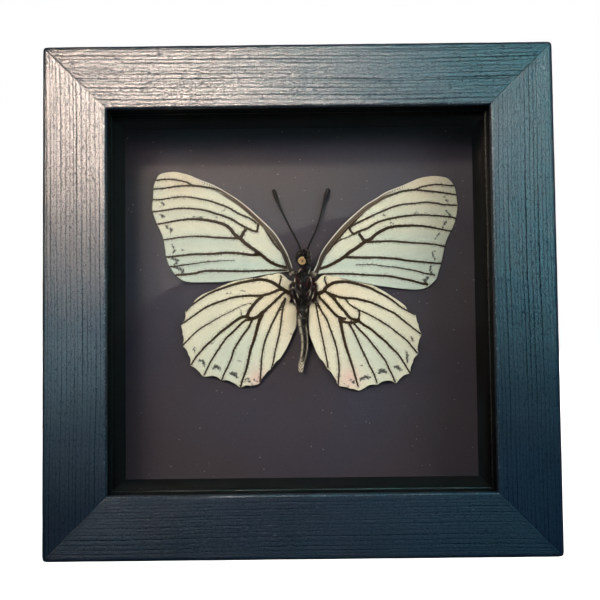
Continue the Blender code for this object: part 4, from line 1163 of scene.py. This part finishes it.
def tube(route, step, sides, swell=None):
    """A round-ended tube on a smooth route of (right, up, back, radius). Swell scales it by mm along."""
    line = smooth_line(route, step)
    length = np.concatenate([[0], np.cumsum(np.linalg.norm(np.diff(line[:, :3], axis=0), axis=1))])
    radius = line[:, 3] * (1 if swell is None else swell(length))
    to_end = np.minimum(length, length[-1] - length)
    radius = radius * np.sqrt(np.clip(1 - (1 - np.clip(to_end / radius, 0, 1)) ** 2, 0.03, 1))
    ahead = np.gradient(line[:, :3], axis=0)
    ahead /= np.linalg.norm(ahead, axis=1)[:, None]
    side = np.cross(ahead, (0, 0, 1))
    side /= np.linalg.norm(side, axis=1)[:, None]
    up = np.cross(side, ahead)
    turn = np.linspace(0, 2 * np.pi, sides, endpoint=False)[None, :, None]
    out = side[:, None] * np.cos(turn) + up[:, None] * np.sin(turn)
    places = line[:, None, :3] + out * radius[:, None, None]
    along = np.repeat(length, sides)
    around = np.tile(np.arange(sides) / sides, len(line))
    return places.reshape(-1, 3), grid_faces(len(line), sides), out.reshape(-1, 3), along, around


def hairs(roots, ways, lengths, thickness, droop, **looks):
    """Three-sided tapered hairs, bent towards droop. Each look is one number, or one for each hair."""
    ways = ways / np.linalg.norm(ways, axis=1)[:, None]
    side = np.cross(ways, (0.31, 0.87, 0.39))
    side /= np.linalg.norm(side, axis=1)[:, None]
    other = np.cross(ways, side)
    lengths = lengths[:, None]
    droop = np.array(droop)
    middle = roots + ways * lengths * 0.5 + droop * lengths * 0.10
    tip = roots + ways * lengths * 0.86 + droop * lengths * 0.42
    points = []
    for place, width in ((roots - ways * 0.05, 0.5), (middle, 0.38)):
        for angle in (0.0, 2.094, 4.189):
            points.append(place + (side * math.cos(angle) + other * math.sin(angle)) * thickness * width)
    points = np.stack(points + [tip], 1)
    faces = [tuple(HAIR_POINTS * i + k for k in face) for i in range(len(roots)) for face in HAIR_FACES]
    looks = {key: np.repeat(value, HAIR_POINTS) if np.ndim(value) else value for key, value in looks.items()}
    return points.reshape(-1, 3), faces, looks


def body_piece(node, title, parts, finish):
    """One mesh from several (places, faces, looks) parts, whose looks have the same names."""
    counts = [len(places) for places, _, _ in parts]
    starts = np.concatenate([[0], np.cumsum(counts)])
    faces = [tuple(v + start for v in face) for part, start in zip(parts, starts) for face in part[1]]
    fields = {}
    for key in parts[0][2]:
        values = [np.broadcast_to(part[2][key], count) for part, count in zip(parts, counts)]
        fields[key] = np.concatenate(values)
    places = in_frame(np.concatenate([places for places, _, _ in parts]))
    obj = mesh_object(title, places, faces, finish, fields)
    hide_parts(node)
    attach(obj, "root")


SHELL_DARK = (0.0026, 0.0016, 0.0012)
SHELL_BROWN = (0.018, 0.010, 0.006)
MAROON = (0.052, 0.0065, 0.0055)
WHITE_HAIR = (0.80, 0.75, 0.62)
CREAM_HAIR = (0.50, 0.42, 0.27)


def body_finish():
    made, tree, shader = new_material("hair and shell of the body")
    place = place_in_mm(tree)
    mottle = noise(tree, place, 1.6, 3.0, 0.6)
    shade = weighed(tree, 0.0, (attribute(tree, "tone"), 0.65), (mottle, 0.35))
    colour = blend(tree, shade, SHELL_DARK, SHELL_BROWN)
    colour = blend(tree, attribute(tree, "maroon"), colour, MAROON)
    pale = blend(tree, noise(tree, place, 3.5, 2.0), CREAM_HAIR, WHITE_HAIR)
    colour = blend(tree, attribute(tree, "pale"), colour, pale)
    gloss = attribute(tree, "gloss")
    rough = weighed(tree, 0.52, (gloss, -0.38))
    shine = weighed(tree, 0.05, (gloss, 0.45))
    normal = bump(tree, noise(tree, place, 9.0, 2.0, 0.6), 0.03)
    connect(tree, shader, Base_Color=colour, Roughness=rough, Specular_IOR_Level=shine, Normal=normal)
    return made


def thorax(finish):
    draw = np.random.default_rng(11)
    places, faces, out = ellipsoid(THORAX_MIDDLE, THORAX_HALF, 90, 84)
    ridges = 0.10 * np.sin(places[:, 1] * 2.6 + 2.0 * out[:, 0]) * np.abs(out[:, 0])
    keel = -0.22 * np.exp(-((places[:, 0] / 0.35) ** 2))
    ripple = 0.05 * np.sin(places[:, 0] * 9 + places[:, 1] * 7)
    places = places + out * (ridges + keel + ripple)[:, None]
    red = np.clip(np.abs(places[:, 0]) / 1.9 - 0.45, 0, 1)
    red = red * np.clip(1.4 - np.abs(places[:, 1] + 4.6) / 3.4, 0, 1)
    parts = [(places, faces, {"tone": 0.25, "maroon": red * 0.8, "pale": 0.0, "gloss": 0.40})]

    pick = draw.integers(0, len(places), THORAX_HAIRS)
    share = 0.75 + 0.25 * np.abs(out[pick, 0]) + 0.3 * (out[pick, 1] > 0.3)
    pick = pick[(out[pick, 2] < 0.55) & (draw.random(THORAX_HAIRS) < share)]
    count = len(pick)
    roots = places[pick]
    ways = out[pick] * 0.55 + draw.normal(0, 0.33, (count, 3)) + (0, -0.35, -0.12)
    lengths = draw.uniform(0.45, 1.25, count)
    lengths = lengths * (1 + 0.5 * np.clip(np.abs(roots[:, 0]) - 1.2, 0, 1))
    by_hinge = np.zeros(count)
    for x, z in HINGE_TUFTS:
        away = np.hypot(roots[:, 0] - x * 0.86, roots[:, 1] - z)
        by_hinge = np.maximum(by_hinge, np.clip(1.6 - away / 0.55, 0, 1))
    stray = draw.random(count) < 0.03
    white = np.maximum(by_hinge * (draw.random(count) < 0.8), stray * 0.45)
    tone = draw.uniform(0.0, 0.9, count)
    red = np.clip(np.abs(roots[:, 0]) / 2.0 - 0.4, 0, 1) * draw.random(count) * 0.9
    parts.append(hairs(
        roots, ways, lengths, 0.075, (0, -0.8, 0.1), tone=tone, maroon=red, pale=white, gloss=0.25
    ))  # fmt: skip

    # Longer dark red-brown hair lies out over the roots of the hindwings.
    side = np.where(draw.random(LONG_HAIRS) < 0.5, -1.0, 1.0)
    right = side * draw.uniform(1.7, 2.9, LONG_HAIRS)
    up = draw.uniform(-8.9, -3.9, LONG_HAIRS)
    roots = np.stack([right, up, draw.uniform(18.6, 20.4, LONG_HAIRS)], 1)
    lean = np.full(LONG_HAIRS, -0.35)
    ways = draw.normal(0, 0.28, (LONG_HAIRS, 3)) + np.stack([side, lean, lean], 1)
    lengths = draw.uniform(0.7, 2.1, LONG_HAIRS)
    red = draw.uniform(0.1, 0.8, LONG_HAIRS)
    parts.append(hairs(
        roots, ways, lengths, 0.085, (0, -0.5, 0.15), tone=0.25, maroon=red, pale=0.0, gloss=0.15
    ))  # fmt: skip

    # Short white tufts stand at the wing hinges.
    for x, z in HINGE_TUFTS:
        right = x + draw.normal(0, 0.15, TUFT_HAIRS)
        up = z + draw.normal(0, 0.15, TUFT_HAIRS)
        roots = np.stack([right, up, draw.uniform(19.6, 20.2, TUFT_HAIRS)], 1)
        ways = draw.normal(0, 0.3, (TUFT_HAIRS, 3)) + (0.55 * np.sign(x), 0.2, -1.2)
        lengths = draw.uniform(0.4, 0.9, TUFT_HAIRS)
        parts.append(hairs(
            roots, ways, lengths, 0.13, (0, -0.2, 0), tone=0.5, maroon=0.0, pale=1.0, gloss=0.1
        ))  # fmt: skip
    body_piece("butterfly_thorax", "hairy_thorax", parts, finish)


def head(finish):
    draw = np.random.default_rng(12)
    places, faces, out = ellipsoid(HEAD_MIDDLE, HEAD_HALF, 60, 60)
    parts = [(places, faces, {"tone": 0.2, "maroon": 0.0, "pale": 0.0, "gloss": 0.3})]
    for side in (-1, 1):
        middle = (HEAD_MIDDLE[0] + side * 0.95, HEAD_MIDDLE[1] + 0.1, HEAD_MIDDLE[2] - 0.1)
        eye, eye_faces, eye_out = ellipsoid(middle, (EYE_RADIUS * 0.72, EYE_RADIUS, EYE_RADIUS), 60, 60)
        facets = 0.012 * np.sin(eye_out[:, 0] * 60) * np.sin(eye_out[:, 1] * 60)
        eye = eye + eye_out * facets[:, None]
        parts.append((eye, eye_faces, {"tone": 0.5, "maroon": 0.35, "pale": 0.0, "gloss": 1.0}))

    pick = draw.integers(0, len(places), HEAD_HAIRS)
    pick = pick[(out[pick, 2] < 0.5) & (np.abs(out[pick, 0]) < 0.86)]
    count = len(pick)
    ways = out[pick] * 0.7 + draw.normal(0, 0.35, (count, 3)) + (0, 0.45, -0.1)
    lengths = draw.uniform(0.5, 1.35, count)
    white = (draw.random(count) < 0.045) * draw.uniform(0.4, 0.9, count)
    tone = draw.uniform(0, 0.35, count)
    parts.append(hairs(
        places[pick], ways, lengths, 0.06, (0, 0.2, -0.1), tone=tone, maroon=0.0, pale=white, gloss=0.2
    ))  # fmt: skip
    body_piece("butterfly_head", "hairy_head", parts, finish)


def abdomen(finish):
    """Segments overlap towards the tail. A cream fold runs down each side of the black underside."""
    draw = np.random.default_rng(13)

    def swell(mm):
        in_segment = (mm / SEGMENT) % 1
        return 0.93 + 0.10 * in_segment - 0.06 * np.exp(-((in_segment - 1.0) / 0.06) ** 2)

    places, faces, out, along, around = tube(ABDOMEN, 0.09, 72, swell)
    tail = np.clip((along - TAIL_FROM) / 2.5, 0, 1)
    turn = around * 2 * np.pi
    creases = np.sin(turn * 5 + along * 0.8) + 0.6 * np.sin(turn * 9 - along * 1.7)
    places = places + out * (0.012 + 0.075 * tail)[:, None] * creases[:, None]
    in_segment = (along / SEGMENT) % 1
    # Seen from the front, the fold lines lie at about two thirds of the half width.
    left = np.exp(-(((out[:, 0] + 0.62) / 0.26) ** 2)) * np.clip((along - 3.2) / 1.5, 0, 1) * 1.15
    right = np.exp(-(((out[:, 0] - 0.80) / 0.16) ** 2)) * np.clip((along - 5.5) / 1.5, 0, 1) * 0.75
    front = np.clip(-out[:, 2] * 3, 0, 1)
    broken = np.clip(1.1 - np.exp(-((in_segment - 0.95) / 0.10) ** 2), 0, 1)
    folds = np.maximum(left, right) * front * broken * (1 - 0.45 * tail)
    rim = np.exp(-(((in_segment - 0.93) / 0.05) ** 2)) * 0.15
    tip = tail * np.clip(0.85 + 0.95 * np.sin(creases * 2.0 + along * 5.5), 0.0, 1.0)
    pale = np.clip(np.maximum(np.maximum(folds * 0.85, rim * front), tip), 0, 1)
    looks = {"tone": 0.15 + 0.55 * tail, "maroon": 0.10 * tail, "pale": pale, "gloss": 0.35}
    shell = (places, faces, looks)

    pick = draw.integers(0, len(places), ABDOMEN_HAIRS)
    pick = pick[(out[pick, 2] < 0.6) & (tail[pick] < 0.4)]
    count = len(pick)
    ways = out[pick] * 0.22 + draw.normal(0, 0.10, (count, 3)) + (0, -1.0, 0)
    lengths = draw.uniform(0.22, 0.6, count)
    tone = draw.uniform(0, 0.7, count)
    white = np.clip(pale[pick] * draw.uniform(0.8, 1.3, count), 0, 1)
    coat = hairs(
        places[pick], ways, lengths, 0.06, (0, -0.3, 0), tone=tone, maroon=0.0, pale=white, gloss=0.2
    )  # fmt: skip
    body_piece("butterfly_abdomen", "segmented_abdomen", [shell, coat], finish)


body = body_finish()
thorax(body)
head(body)
abdomen(body)


# ---------------------------------------------------------------------------------------------------------
# Feelers, mouthparts and legs. Feelers are thin dark jointed rods that thicken to a club. The legs are
# folded on the breast, dark, with a white stripe down the front that is partly white scales and partly a
# painted highlight. The tongue is an amber tube rolled up like a watch spring.
# ---------------------------------------------------------------------------------------------------------

# Routes of (mm right, mm up, mm back, radius).
ANTENNA_LEFT = [
    (-0.5, 4.5, 19.6, 0.2), (-1.2, 6.6, 20.0, 0.18), (-2.3, 9.0, 20.4, 0.18), (-3.5, 11.3, 20.7, 0.18),
    (-4.8, 14.0, 21.0, 0.19), (-5.9, 16.4, 21.2, 0.2), (-6.8, 18.6, 21.3, 0.27), (-7.4, 20.2, 21.4, 0.39),
    (-7.9, 21.9, 21.5, 0.37), (-8.05, 22.35, 21.5, 0.24),
]  # fmt: skip
ANTENNA_RIGHT = [
    (1.0, 4.5, 19.6, 0.2), (1.6, 6.2, 20.0, 0.18), (2.5, 8.1, 20.4, 0.18), (3.4, 10.0, 20.7, 0.18),
    (4.2, 12.1, 21.0, 0.18), (4.9, 14.4, 21.1, 0.19), (5.5, 16.6, 21.2, 0.2), (6.1, 18.8, 21.3, 0.27),
    (6.6, 20.3, 21.4, 0.41), (7.2, 22.0, 21.5, 0.41), (7.35, 22.45, 21.5, 0.26),
]  # fmt: skip
PALP_LEFT = [
    (-1.6, 1.2, 17.0, 0.30), (-1.55, 2.6, 16.7, 0.33), (-1.2, 3.6, 16.8, 0.27), (-0.8, 4.4, 17.1, 0.12),
]  # fmt: skip
PALP_RIGHT = [
    (1.6, 1.0, 17.0, 0.30), (1.65, 2.4, 16.7, 0.33), (1.5, 3.5, 16.8, 0.27), (1.2, 4.5, 17.1, 0.12),
]  # fmt: skip
LEGS = {
    "foreleg_left": [
        (-1.5, -1.9, 16.9, 0.2), (-0.9, -0.7, 16.4, 0.23), (0.0, -0.3, 16.3, 0.2), (0.9, 0.0, 16.4, 0.1),
    ],
    "foreleg_right": [
        (1.4, -1.8, 16.9, 0.2), (1.8, -0.6, 16.6, 0.23), (1.95, 0.1, 16.6, 0.2), (1.9, 0.7, 16.8, 0.1),
    ],
    "midleg_left": [
        (-0.7, -5.3, 15.9, 0.32), (-1.3, -3.6, 15.5, 0.34), (-1.9, -2.6, 15.7, 0.26),
        (-2.3, -3.2, 15.8, 0.24), (-2.2, -5.0, 15.5, 0.23), (-1.8, -6.8, 15.5, 0.18), (-1.3, -8.6, 15.7, 0.12),
    ],
    "midleg_right": [
        (0.8, -5.5, 15.9, 0.32), (1.1, -3.9, 15.5, 0.34), (1.6, -2.8, 15.7, 0.26), (2.1, -3.3, 15.8, 0.24),
        (2.1, -5.1, 15.5, 0.23), (1.8, -7.0, 15.5, 0.18), (1.4, -8.7, 15.7, 0.12),
    ],
    "hindleg_left": [
        (-0.6, -7.4, 16.4, 0.28), (-1.7, -6.3, 16.5, 0.28), (-2.8, -5.4, 16.9, 0.26),
        (-3.1, -6.2, 17.1, 0.24), (-2.7, -8.2, 17.0, 0.22), (-1.8, -10.6, 16.9, 0.18),
        (-1.2, -12.3, 17.2, 0.15), (-0.6, -13.3, 17.4, 0.1),
    ],
    "hindleg_right": [
        (0.6, -7.6, 16.4, 0.28), (1.7, -6.2, 16.5, 0.28), (2.7, -5.1, 16.9, 0.26), (3.0, -5.9, 17.1, 0.24),
        (2.5, -8.0, 17.0, 0.22), (1.3, -10.2, 16.9, 0.18), (0.8, -11.4, 17.2, 0.16), (0.5, -12.6, 17.4, 0.1),
    ],
}  # fmt: skip
ANTENNA_JOINT = 0.42
CLUB_FROM = 13.0
PALP_HAIRS = 620
LEG_SPINES = 260
TONGUE_MIDDLE = (-0.2, 1.7, 16.4)
TONGUE_TURNS = 2.6
TONGUE_OUTER = 1.03
TONGUE_INNER = 0.14
TONGUE_RADIUS = 0.155


def antenna(name, route, finish):
    def swell(mm):
        return 1.32 + 0.10 * np.sin(np.pi * ((mm / ANTENNA_JOINT) % 1)) ** 0.5

    places, faces, _, along, _ = tube(route, 0.07, 20, swell)
    joint = np.exp(-((((along / ANTENNA_JOINT) % 1) / 0.14) ** 2))
    club = np.clip((along - CLUB_FROM) / 2.0, 0, 1)
    looks = {"tone": 0.3 * joint, "maroon": 0.06 * club, "pale": 0.02 * joint * (1 - club), "gloss": 0.1}
    body_piece(name, "jointed_" + name, [(places, faces, looks)], finish)


def palp(name, route, seed, finish):
    draw = np.random.default_rng(seed)
    places, faces, out, _, _ = tube(route, 0.05, 28)
    shell = (places, faces, {"tone": 0.2, "maroon": 0.1, "pale": 0.04, "gloss": 0.4})
    pick = draw.integers(0, len(places), PALP_HAIRS)
    ways = out[pick] * 0.45 + draw.normal(0, 0.2, (PALP_HAIRS, 3)) + (0, 0.9, -0.1)
    lengths = draw.uniform(0.3, 0.8, PALP_HAIRS)
    white = np.where(draw.random(PALP_HAIRS) < 0.09, draw.uniform(0.7, 1.0, PALP_HAIRS), 0.02)
    coat = hairs(
        places[pick], ways, lengths, 0.06, (0, 0.2, 0), tone=0.3, maroon=0.0, pale=white, gloss=0.1
    )  # fmt: skip
    body_piece(name, "scaly_" + name, [shell, coat], finish)


def leg(name, route, seed, finish):
    """A leg swells at its joints, and short spines stand on it."""
    draw = np.random.default_rng(seed)
    places, faces, out, along, around = tube(route, 0.06, 26)
    # The white stripe on the side facing the front is partly white scales and partly a painted highlight.
    stripe_and_glints = np.clip(1.7 - np.abs(around - 0.75) / 0.075, 0, 1)
    patch = 0.5 + 0.5 * np.sin(along * 1.5 + seed)
    pale = stripe_and_glints * np.clip(3.2 * patch - 2.3, 0, 0.8)
    shell = (places, faces, {"tone": 0.2, "maroon": 0.5, "pale": pale, "gloss": 0.95})
    pick = draw.integers(0, len(places), LEG_SPINES)
    ways = out[pick] * 0.6 + draw.normal(0, 0.2, (LEG_SPINES, 3)) + (0, -0.5, 0)
    lengths = draw.uniform(0.15, 0.38, LEG_SPINES)
    white = pale[pick] * 0.8
    spines = hairs(
        places[pick], ways, lengths, 0.045, (0, -0.3, 0), tone=0.3, maroon=0.0, pale=white, gloss=0.1
    )  # fmt: skip
    body_piece(name, "striped_and_glinting_" + name, [shell, spines], finish)


def amber():
    made, tree, shader = new_material("amber tongue", Specular_IOR_Level=0.55, Subsurface_Weight=0.15)
    shader.inputs["Subsurface Scale"].default_value = 0.3 * MM
    depth = attribute(tree, "tone")
    patches = noise(tree, place_in_mm(tree), 2.6, 2.0)
    colour = blend(tree, depth, (0.62, 0.43, 0.18), (0.30, 0.145, 0.035))
    colour = blend(tree, maths(tree, "MULTIPLY", patches, 0.35), colour, (0.85, 0.70, 0.42))
    rings = maths(tree, "SINE", maths(tree, "MULTIPLY", attribute(tree, "pale"), 52.0))
    rough = weighed(tree, 0.24, (patches, 0.14))
    connect(tree, shader, Base_Color=colour, Roughness=rough, Normal=bump(tree, rings, 0.012))
    return made


def tongue(finish):
    """Rolled from the outside in. Fine rings cross it, and it is darker towards its tip."""
    turns = np.linspace(0, TONGUE_TURNS * 2 * np.pi, 46)
    share = turns / turns[-1]
    reach = TONGUE_OUTER + (TONGUE_INNER - TONGUE_OUTER) * share
    right = TONGUE_MIDDLE[0] + reach * np.cos(turns + 1.1)
    up = TONGUE_MIDDLE[1] + reach * np.sin(turns + 1.1)
    back = TONGUE_MIDDLE[2] + 0.12 * share
    route = np.stack([right, up, back, TONGUE_RADIUS * (1 - 0.25 * share)], 1)
    places, faces, _, along, _ = tube(route, 0.03, 22)
    looks = {"tone": np.clip(along / along.max() * 1.5 - 0.45, 0, 1), "pale": along}
    body_piece("proboscis", "rolled_tongue", [(places, faces, looks)], finish)


antenna("antenna_left", ANTENNA_LEFT, body)
antenna("antenna_right", ANTENNA_RIGHT, body)
palp("palp_left", PALP_LEFT, 21, body)
palp("palp_right", PALP_RIGHT, 22, body)
for number, (leg_name, leg_route) in enumerate(LEGS.items()):
    leg(leg_name, leg_route, 31 + number, body)
tongue(amber())


# ---------------------------------------------------------------------------------------------------------
# Glue dab. A drop of clear glue, gone yellowish, that holds the thorax to the board.
# ---------------------------------------------------------------------------------------------------------

def old_glue():
    made, tree, shader = new_material("old clear glue", IOR=1.48, Specular_IOR_Level=0.5)
    shader.inputs["Transmission Weight"].default_value = 0.6
    cloud = noise(tree, place_in_mm(tree), 0.9, 3.0)
    colour = blend(tree, cloud, (0.72, 0.60, 0.36), (0.88, 0.83, 0.68))
    rough = weighed(tree, 0.12, (cloud, 0.2))
    connect(tree, shader, Base_Color=colour, Roughness=rough, Normal=bump(tree, cloud, 0.08))
    return made


finish_node("glue_dab", old_glue())


# ---------------------------------------------------------------------------------------------------------
# Back panel. Brown hardboard, pressed from wood fibre, sawn to size and let into the back of the frame.
# ---------------------------------------------------------------------------------------------------------

def hardboard():
    made, tree, shader = new_material("hardboard", Specular_IOR_Level=0.3)
    place = place_in_mm(tree)
    fibres = noise(tree, stretched(tree, place, 1.0, 1.0, 0.35), 2.2, 4.0, 0.7)
    crossed = noise(tree, stretched(tree, place, 0.35, 1.0, 1.0), 2.6, 4.0, 0.7)
    felt = maths(tree, "MULTIPLY", maths(tree, "ADD", fibres, crossed), 0.5)
    clouds = noise(tree, place, 0.045, 3.0, 0.5)
    colour = blend(tree, felt, (0.125, 0.062, 0.028), (0.33, 0.20, 0.105))
    colour = blend(tree, maths(tree, "MULTIPLY", clouds, 0.5), colour, (0.16, 0.088, 0.042))
    rough = weighed(tree, 0.55, (fibres, 0.25))
    connect(tree, shader, Base_Color=colour, Roughness=rough, Normal=bump(tree, felt, 0.10))
    return made


finish_node("back_panel", hardboard())


# ---------------------------------------------------------------------------------------------------------
# Retaining points. Eight thin zinc-plated steel points, pushed into the rebate's side over the panel.
# ---------------------------------------------------------------------------------------------------------

def plating_group():
    """Thin bright plating: soft crystal patches, fine rolling lines and a few dull spots, as masks."""
    outputs = {"Patch": "Float", "Lines": "Float", "Spots": "Float"}
    group, given, result = new_group("bright plating", {"Vector": None, "Patches": 1.4}, outputs)
    cells = add_node(group, "ShaderNodeTexVoronoi", {"Vector": given["Vector"], "Scale": given["Patches"]})
    pick = add_node(group, "ShaderNodeSeparateColor", {0: cells.outputs["Color"]}).outputs
    rolled = noise(group, stretched(group, given["Vector"], 9.0, 1.0, 0.5), 1.0, 2.0)
    spots = step_up(group, noise(group, given["Vector"], 1.1, 3.0, 0.65), 0.60, 0.72)
    for key, value in {"Patch": pick[0], "Lines": rolled, "Spots": spots}.items():
        group.links.new(value, result[key])
    return group


bright_plating = plating_group()


def plated_steel(name, bright, dull, patches):
    made, tree, shader = new_material(name, Metallic=1.0)
    plating = use_group(tree, bright_plating, Vector=place_in_mm(tree), Patches=patches)
    colour = blend(tree, plating["Patch"], bright, tuple(0.86 * c for c in bright))
    colour = blend(tree, maths(tree, "MULTIPLY", plating["Spots"], 0.7), colour, dull)
    rough = weighed(tree, 0.26, (plating["Patch"], 0.10), (plating["Spots"], 0.25))
    connect(tree, shader, Base_Color=colour, Roughness=rough, Normal=bump(tree, plating["Lines"], 0.015))
    return made


zinc = plated_steel("zinc-plated steel", (0.66, 0.69, 0.72), (0.34, 0.35, 0.36), 1.4)
for number in range(1, 9):
    finish_node("retaining_point_%d" % number, zinc)


# ---------------------------------------------------------------------------------------------------------
# Hanger. A sawtooth plate pressed from brass-plated steel, held to the top rail's back by two small nails.
# ---------------------------------------------------------------------------------------------------------

brassed = plated_steel("brass-plated steel", (0.80, 0.62, 0.30), (0.40, 0.28, 0.12), 0.8)
for name in ("hanger_plate", "hanger_nail_left", "hanger_nail_right"):
    finish_node(name, brassed)


# ---------------------------------------------------------------------------------------------------------
# Studio. Floor and room are plain white to the camera and dim to all else. Two lamps light the specimen, and
# show neither in the glass nor through it. Warm lamps at the upper left and cool panels above, right and left
# light nothing but the sheen.
# ---------------------------------------------------------------------------------------------------------

CENTRE = Vector((0.0, FRONT, BASE + HALF_SIDE * MM))
CAMERA_OFFSET = (0.18, -160.0, -5.72)
CAMERA_PITCH = 1.916
CAMERA_ROLL = 0.638
CAMERA_YAW = 0.083
FOCAL_LENGTH = 39.22
SENSOR = 36.0
FLOOR_HALF = 6.0
DIM_FLOOR = (0.030, 0.042, 0.050, 1.0)
DIM_ROOM = (0.72, 0.93, 1.0, 1.0)


def floor_material():
    made, tree, shader = new_material("pale floor", Roughness=0.7, Specular_IOR_Level=0.1)
    shader.inputs["Emission Strength"].default_value = 0.97
    shader.inputs["Emission Color"].default_value = (1.0, 1.0, 1.0, 1.0)
    mottle = noise(tree, place_in_mm(tree), 0.004, 2.0)
    connect(tree, shader, Base_Color=blend(tree, mottle, (0.86, 0.86, 0.85), (0.88, 0.88, 0.88)))
    path = add_node(tree, "ShaderNodeLightPath").outputs
    dull = add_node(tree, "ShaderNodeBsdfDiffuse", {0: DIM_FLOOR}).outputs[0]
    shares = {0: path["Is Camera Ray"], 1: dull, 2: shader.outputs[0]}
    mixed = add_node(tree, "ShaderNodeMixShader", shares).outputs[0]
    tree.links.new(mixed, tree.nodes["Material Output"].inputs["Surface"])
    return made


def floor():
    mesh = bpy.data.meshes.new("floor")
    corners = [(FLOOR_HALF * x, FLOOR_HALF * y, 0) for x, y in ((-1, -1), (1, -1), (1, 1), (-1, 1))]
    mesh.from_pydata(corners, [], [(0, 1, 2, 3)])
    mesh.materials.append(floor_material())
    obj = bpy.data.objects.new("floor", mesh)
    bpy.context.scene.collection.objects.link(obj)


def soft_lamp(name, offset, aim, size, power, spread, colour, lights):
    """An area lamp, placed from the frame's middle in metres and turned to a point near it, in metres too.
    It lights all there is, or only the dull surfaces or only the shiny ones."""
    data = bpy.data.lights.new(name, "AREA")
    data.shape = "RECTANGLE"
    data.size, data.size_y = size
    data.energy = power
    data.color = colour
    data.spread = math.radians(spread)
    lamp = bpy.data.objects.new(name, data)
    lamp.location = CENTRE + Vector(offset)
    lamp.rotation_euler = (Vector(aim) - Vector(offset)).to_track_quat("-Z", "Y").to_euler()
    lamp.visible_camera = False
    lamp.visible_glossy = lights != "dull"
    lamp.visible_transmission = lights != "dull"
    lamp.visible_diffuse = lights != "sheen"
    bpy.context.scene.collection.objects.link(lamp)


def world():
    made = bpy.data.worlds.new("white room")
    made.use_nodes = True
    tree = made.node_tree
    path = add_node(tree, "ShaderNodeLightPath").outputs
    seen = add_node(tree, "ShaderNodeBackground", {0: (1.0, 1.0, 1.0, 1.0), 1: 1.0}).outputs[0]
    room = add_node(tree, "ShaderNodeBackground", {0: DIM_ROOM, 1: 0.045}).outputs[0]
    mixed = add_node(tree, "ShaderNodeMixShader", {0: path["Is Camera Ray"], 1: room, 2: seen}).outputs[0]
    tree.links.new(mixed, tree.nodes["World Output"].inputs["Surface"])
    bpy.context.scene.world = made


def camera():
    data = bpy.data.cameras.new("camera")
    data.sensor_width = SENSOR
    data.lens = FOCAL_LENGTH
    data.clip_start = 0.01
    obj = bpy.data.objects.new("camera", data)
    obj.location = CENTRE + Vector(CAMERA_OFFSET) * MM
    turn = Vector((CAMERA_PITCH, CAMERA_ROLL, CAMERA_YAW))
    axis_turn = turn_about(turn)
    obj.rotation_euler = (axis_turn @ turn_about(Vector((90.0, 0.0, 0.0)))).to_euler()
    bpy.context.scene.collection.objects.link(obj)
    bpy.context.scene.camera = obj


def turn_about(turn):
    """The rotation about a vector, by its length in degrees."""
    return Matrix.Rotation(math.radians(turn.length), 3, turn.normalized())


# Each lamp's place, aim, size, power, spread in degrees, colour and what it lights.
LAMPS = {
    "key lamp": (
        (-0.080, -0.235, 0.088), (0.004, 0.0, -0.016), (0.066, 0.048), 0.087, 75.0, (1.0, 0.95, 0.90), "dull",
    ),
    "fill lamp": (
        (0.24, -0.27, 0.090), (0.0, 0.0, 0.0), (0.22, 0.10), 0.98, 180.0, (1.0, 0.975, 0.965), "dull",
    ),
    "warm lamp left": (
        (-0.335, -0.80, 0.268), (-0.045, 0.0, 0.038), (0.07, 0.18), 0.097, 15.5, (1.0, 0.80, 0.66), "sheen",
    ),
    "warm lamp above": (
        (-0.148, -0.80, 0.372), (-0.030, 0.0, 0.052), (0.16, 0.07), 0.139, 14.0, (1.0, 0.81, 0.67), "sheen",
    ),
    "cool panel above": (
        (0.13, -0.50, 0.36), (0.05, 0.0, 0.065), (0.42, 0.16), 0.168, 40.0, (0.30, 0.92, 1.0), "sheen",
    ),
    "cool panel right": (
        (0.32, -0.46, 0.13), (0.06, 0.0, 0.03), (0.14, 0.30), 0.116, 40.0, (0.32, 0.92, 1.0), "sheen",
    ),
    "cool panel left": (
        (-0.245, -0.46, -0.06), (-0.075, 0.0, -0.025), (0.09, 0.16), 0.026, 28.0, (0.22, 0.80, 1.0), "sheen",
    ),
    "back lamp": (
        (0.35, 0.80, 0.45), (0.0, 0.0, 0.0), (0.50, 0.50), 7.0, 180.0, (1.0, 0.98, 0.95), "all",
    ),
}  # fmt: skip
for lamp_name, settings in LAMPS.items():
    soft_lamp(lamp_name, *settings)
floor()
world()
camera()
bpy.context.scene.view_settings.view_transform = "Standard"
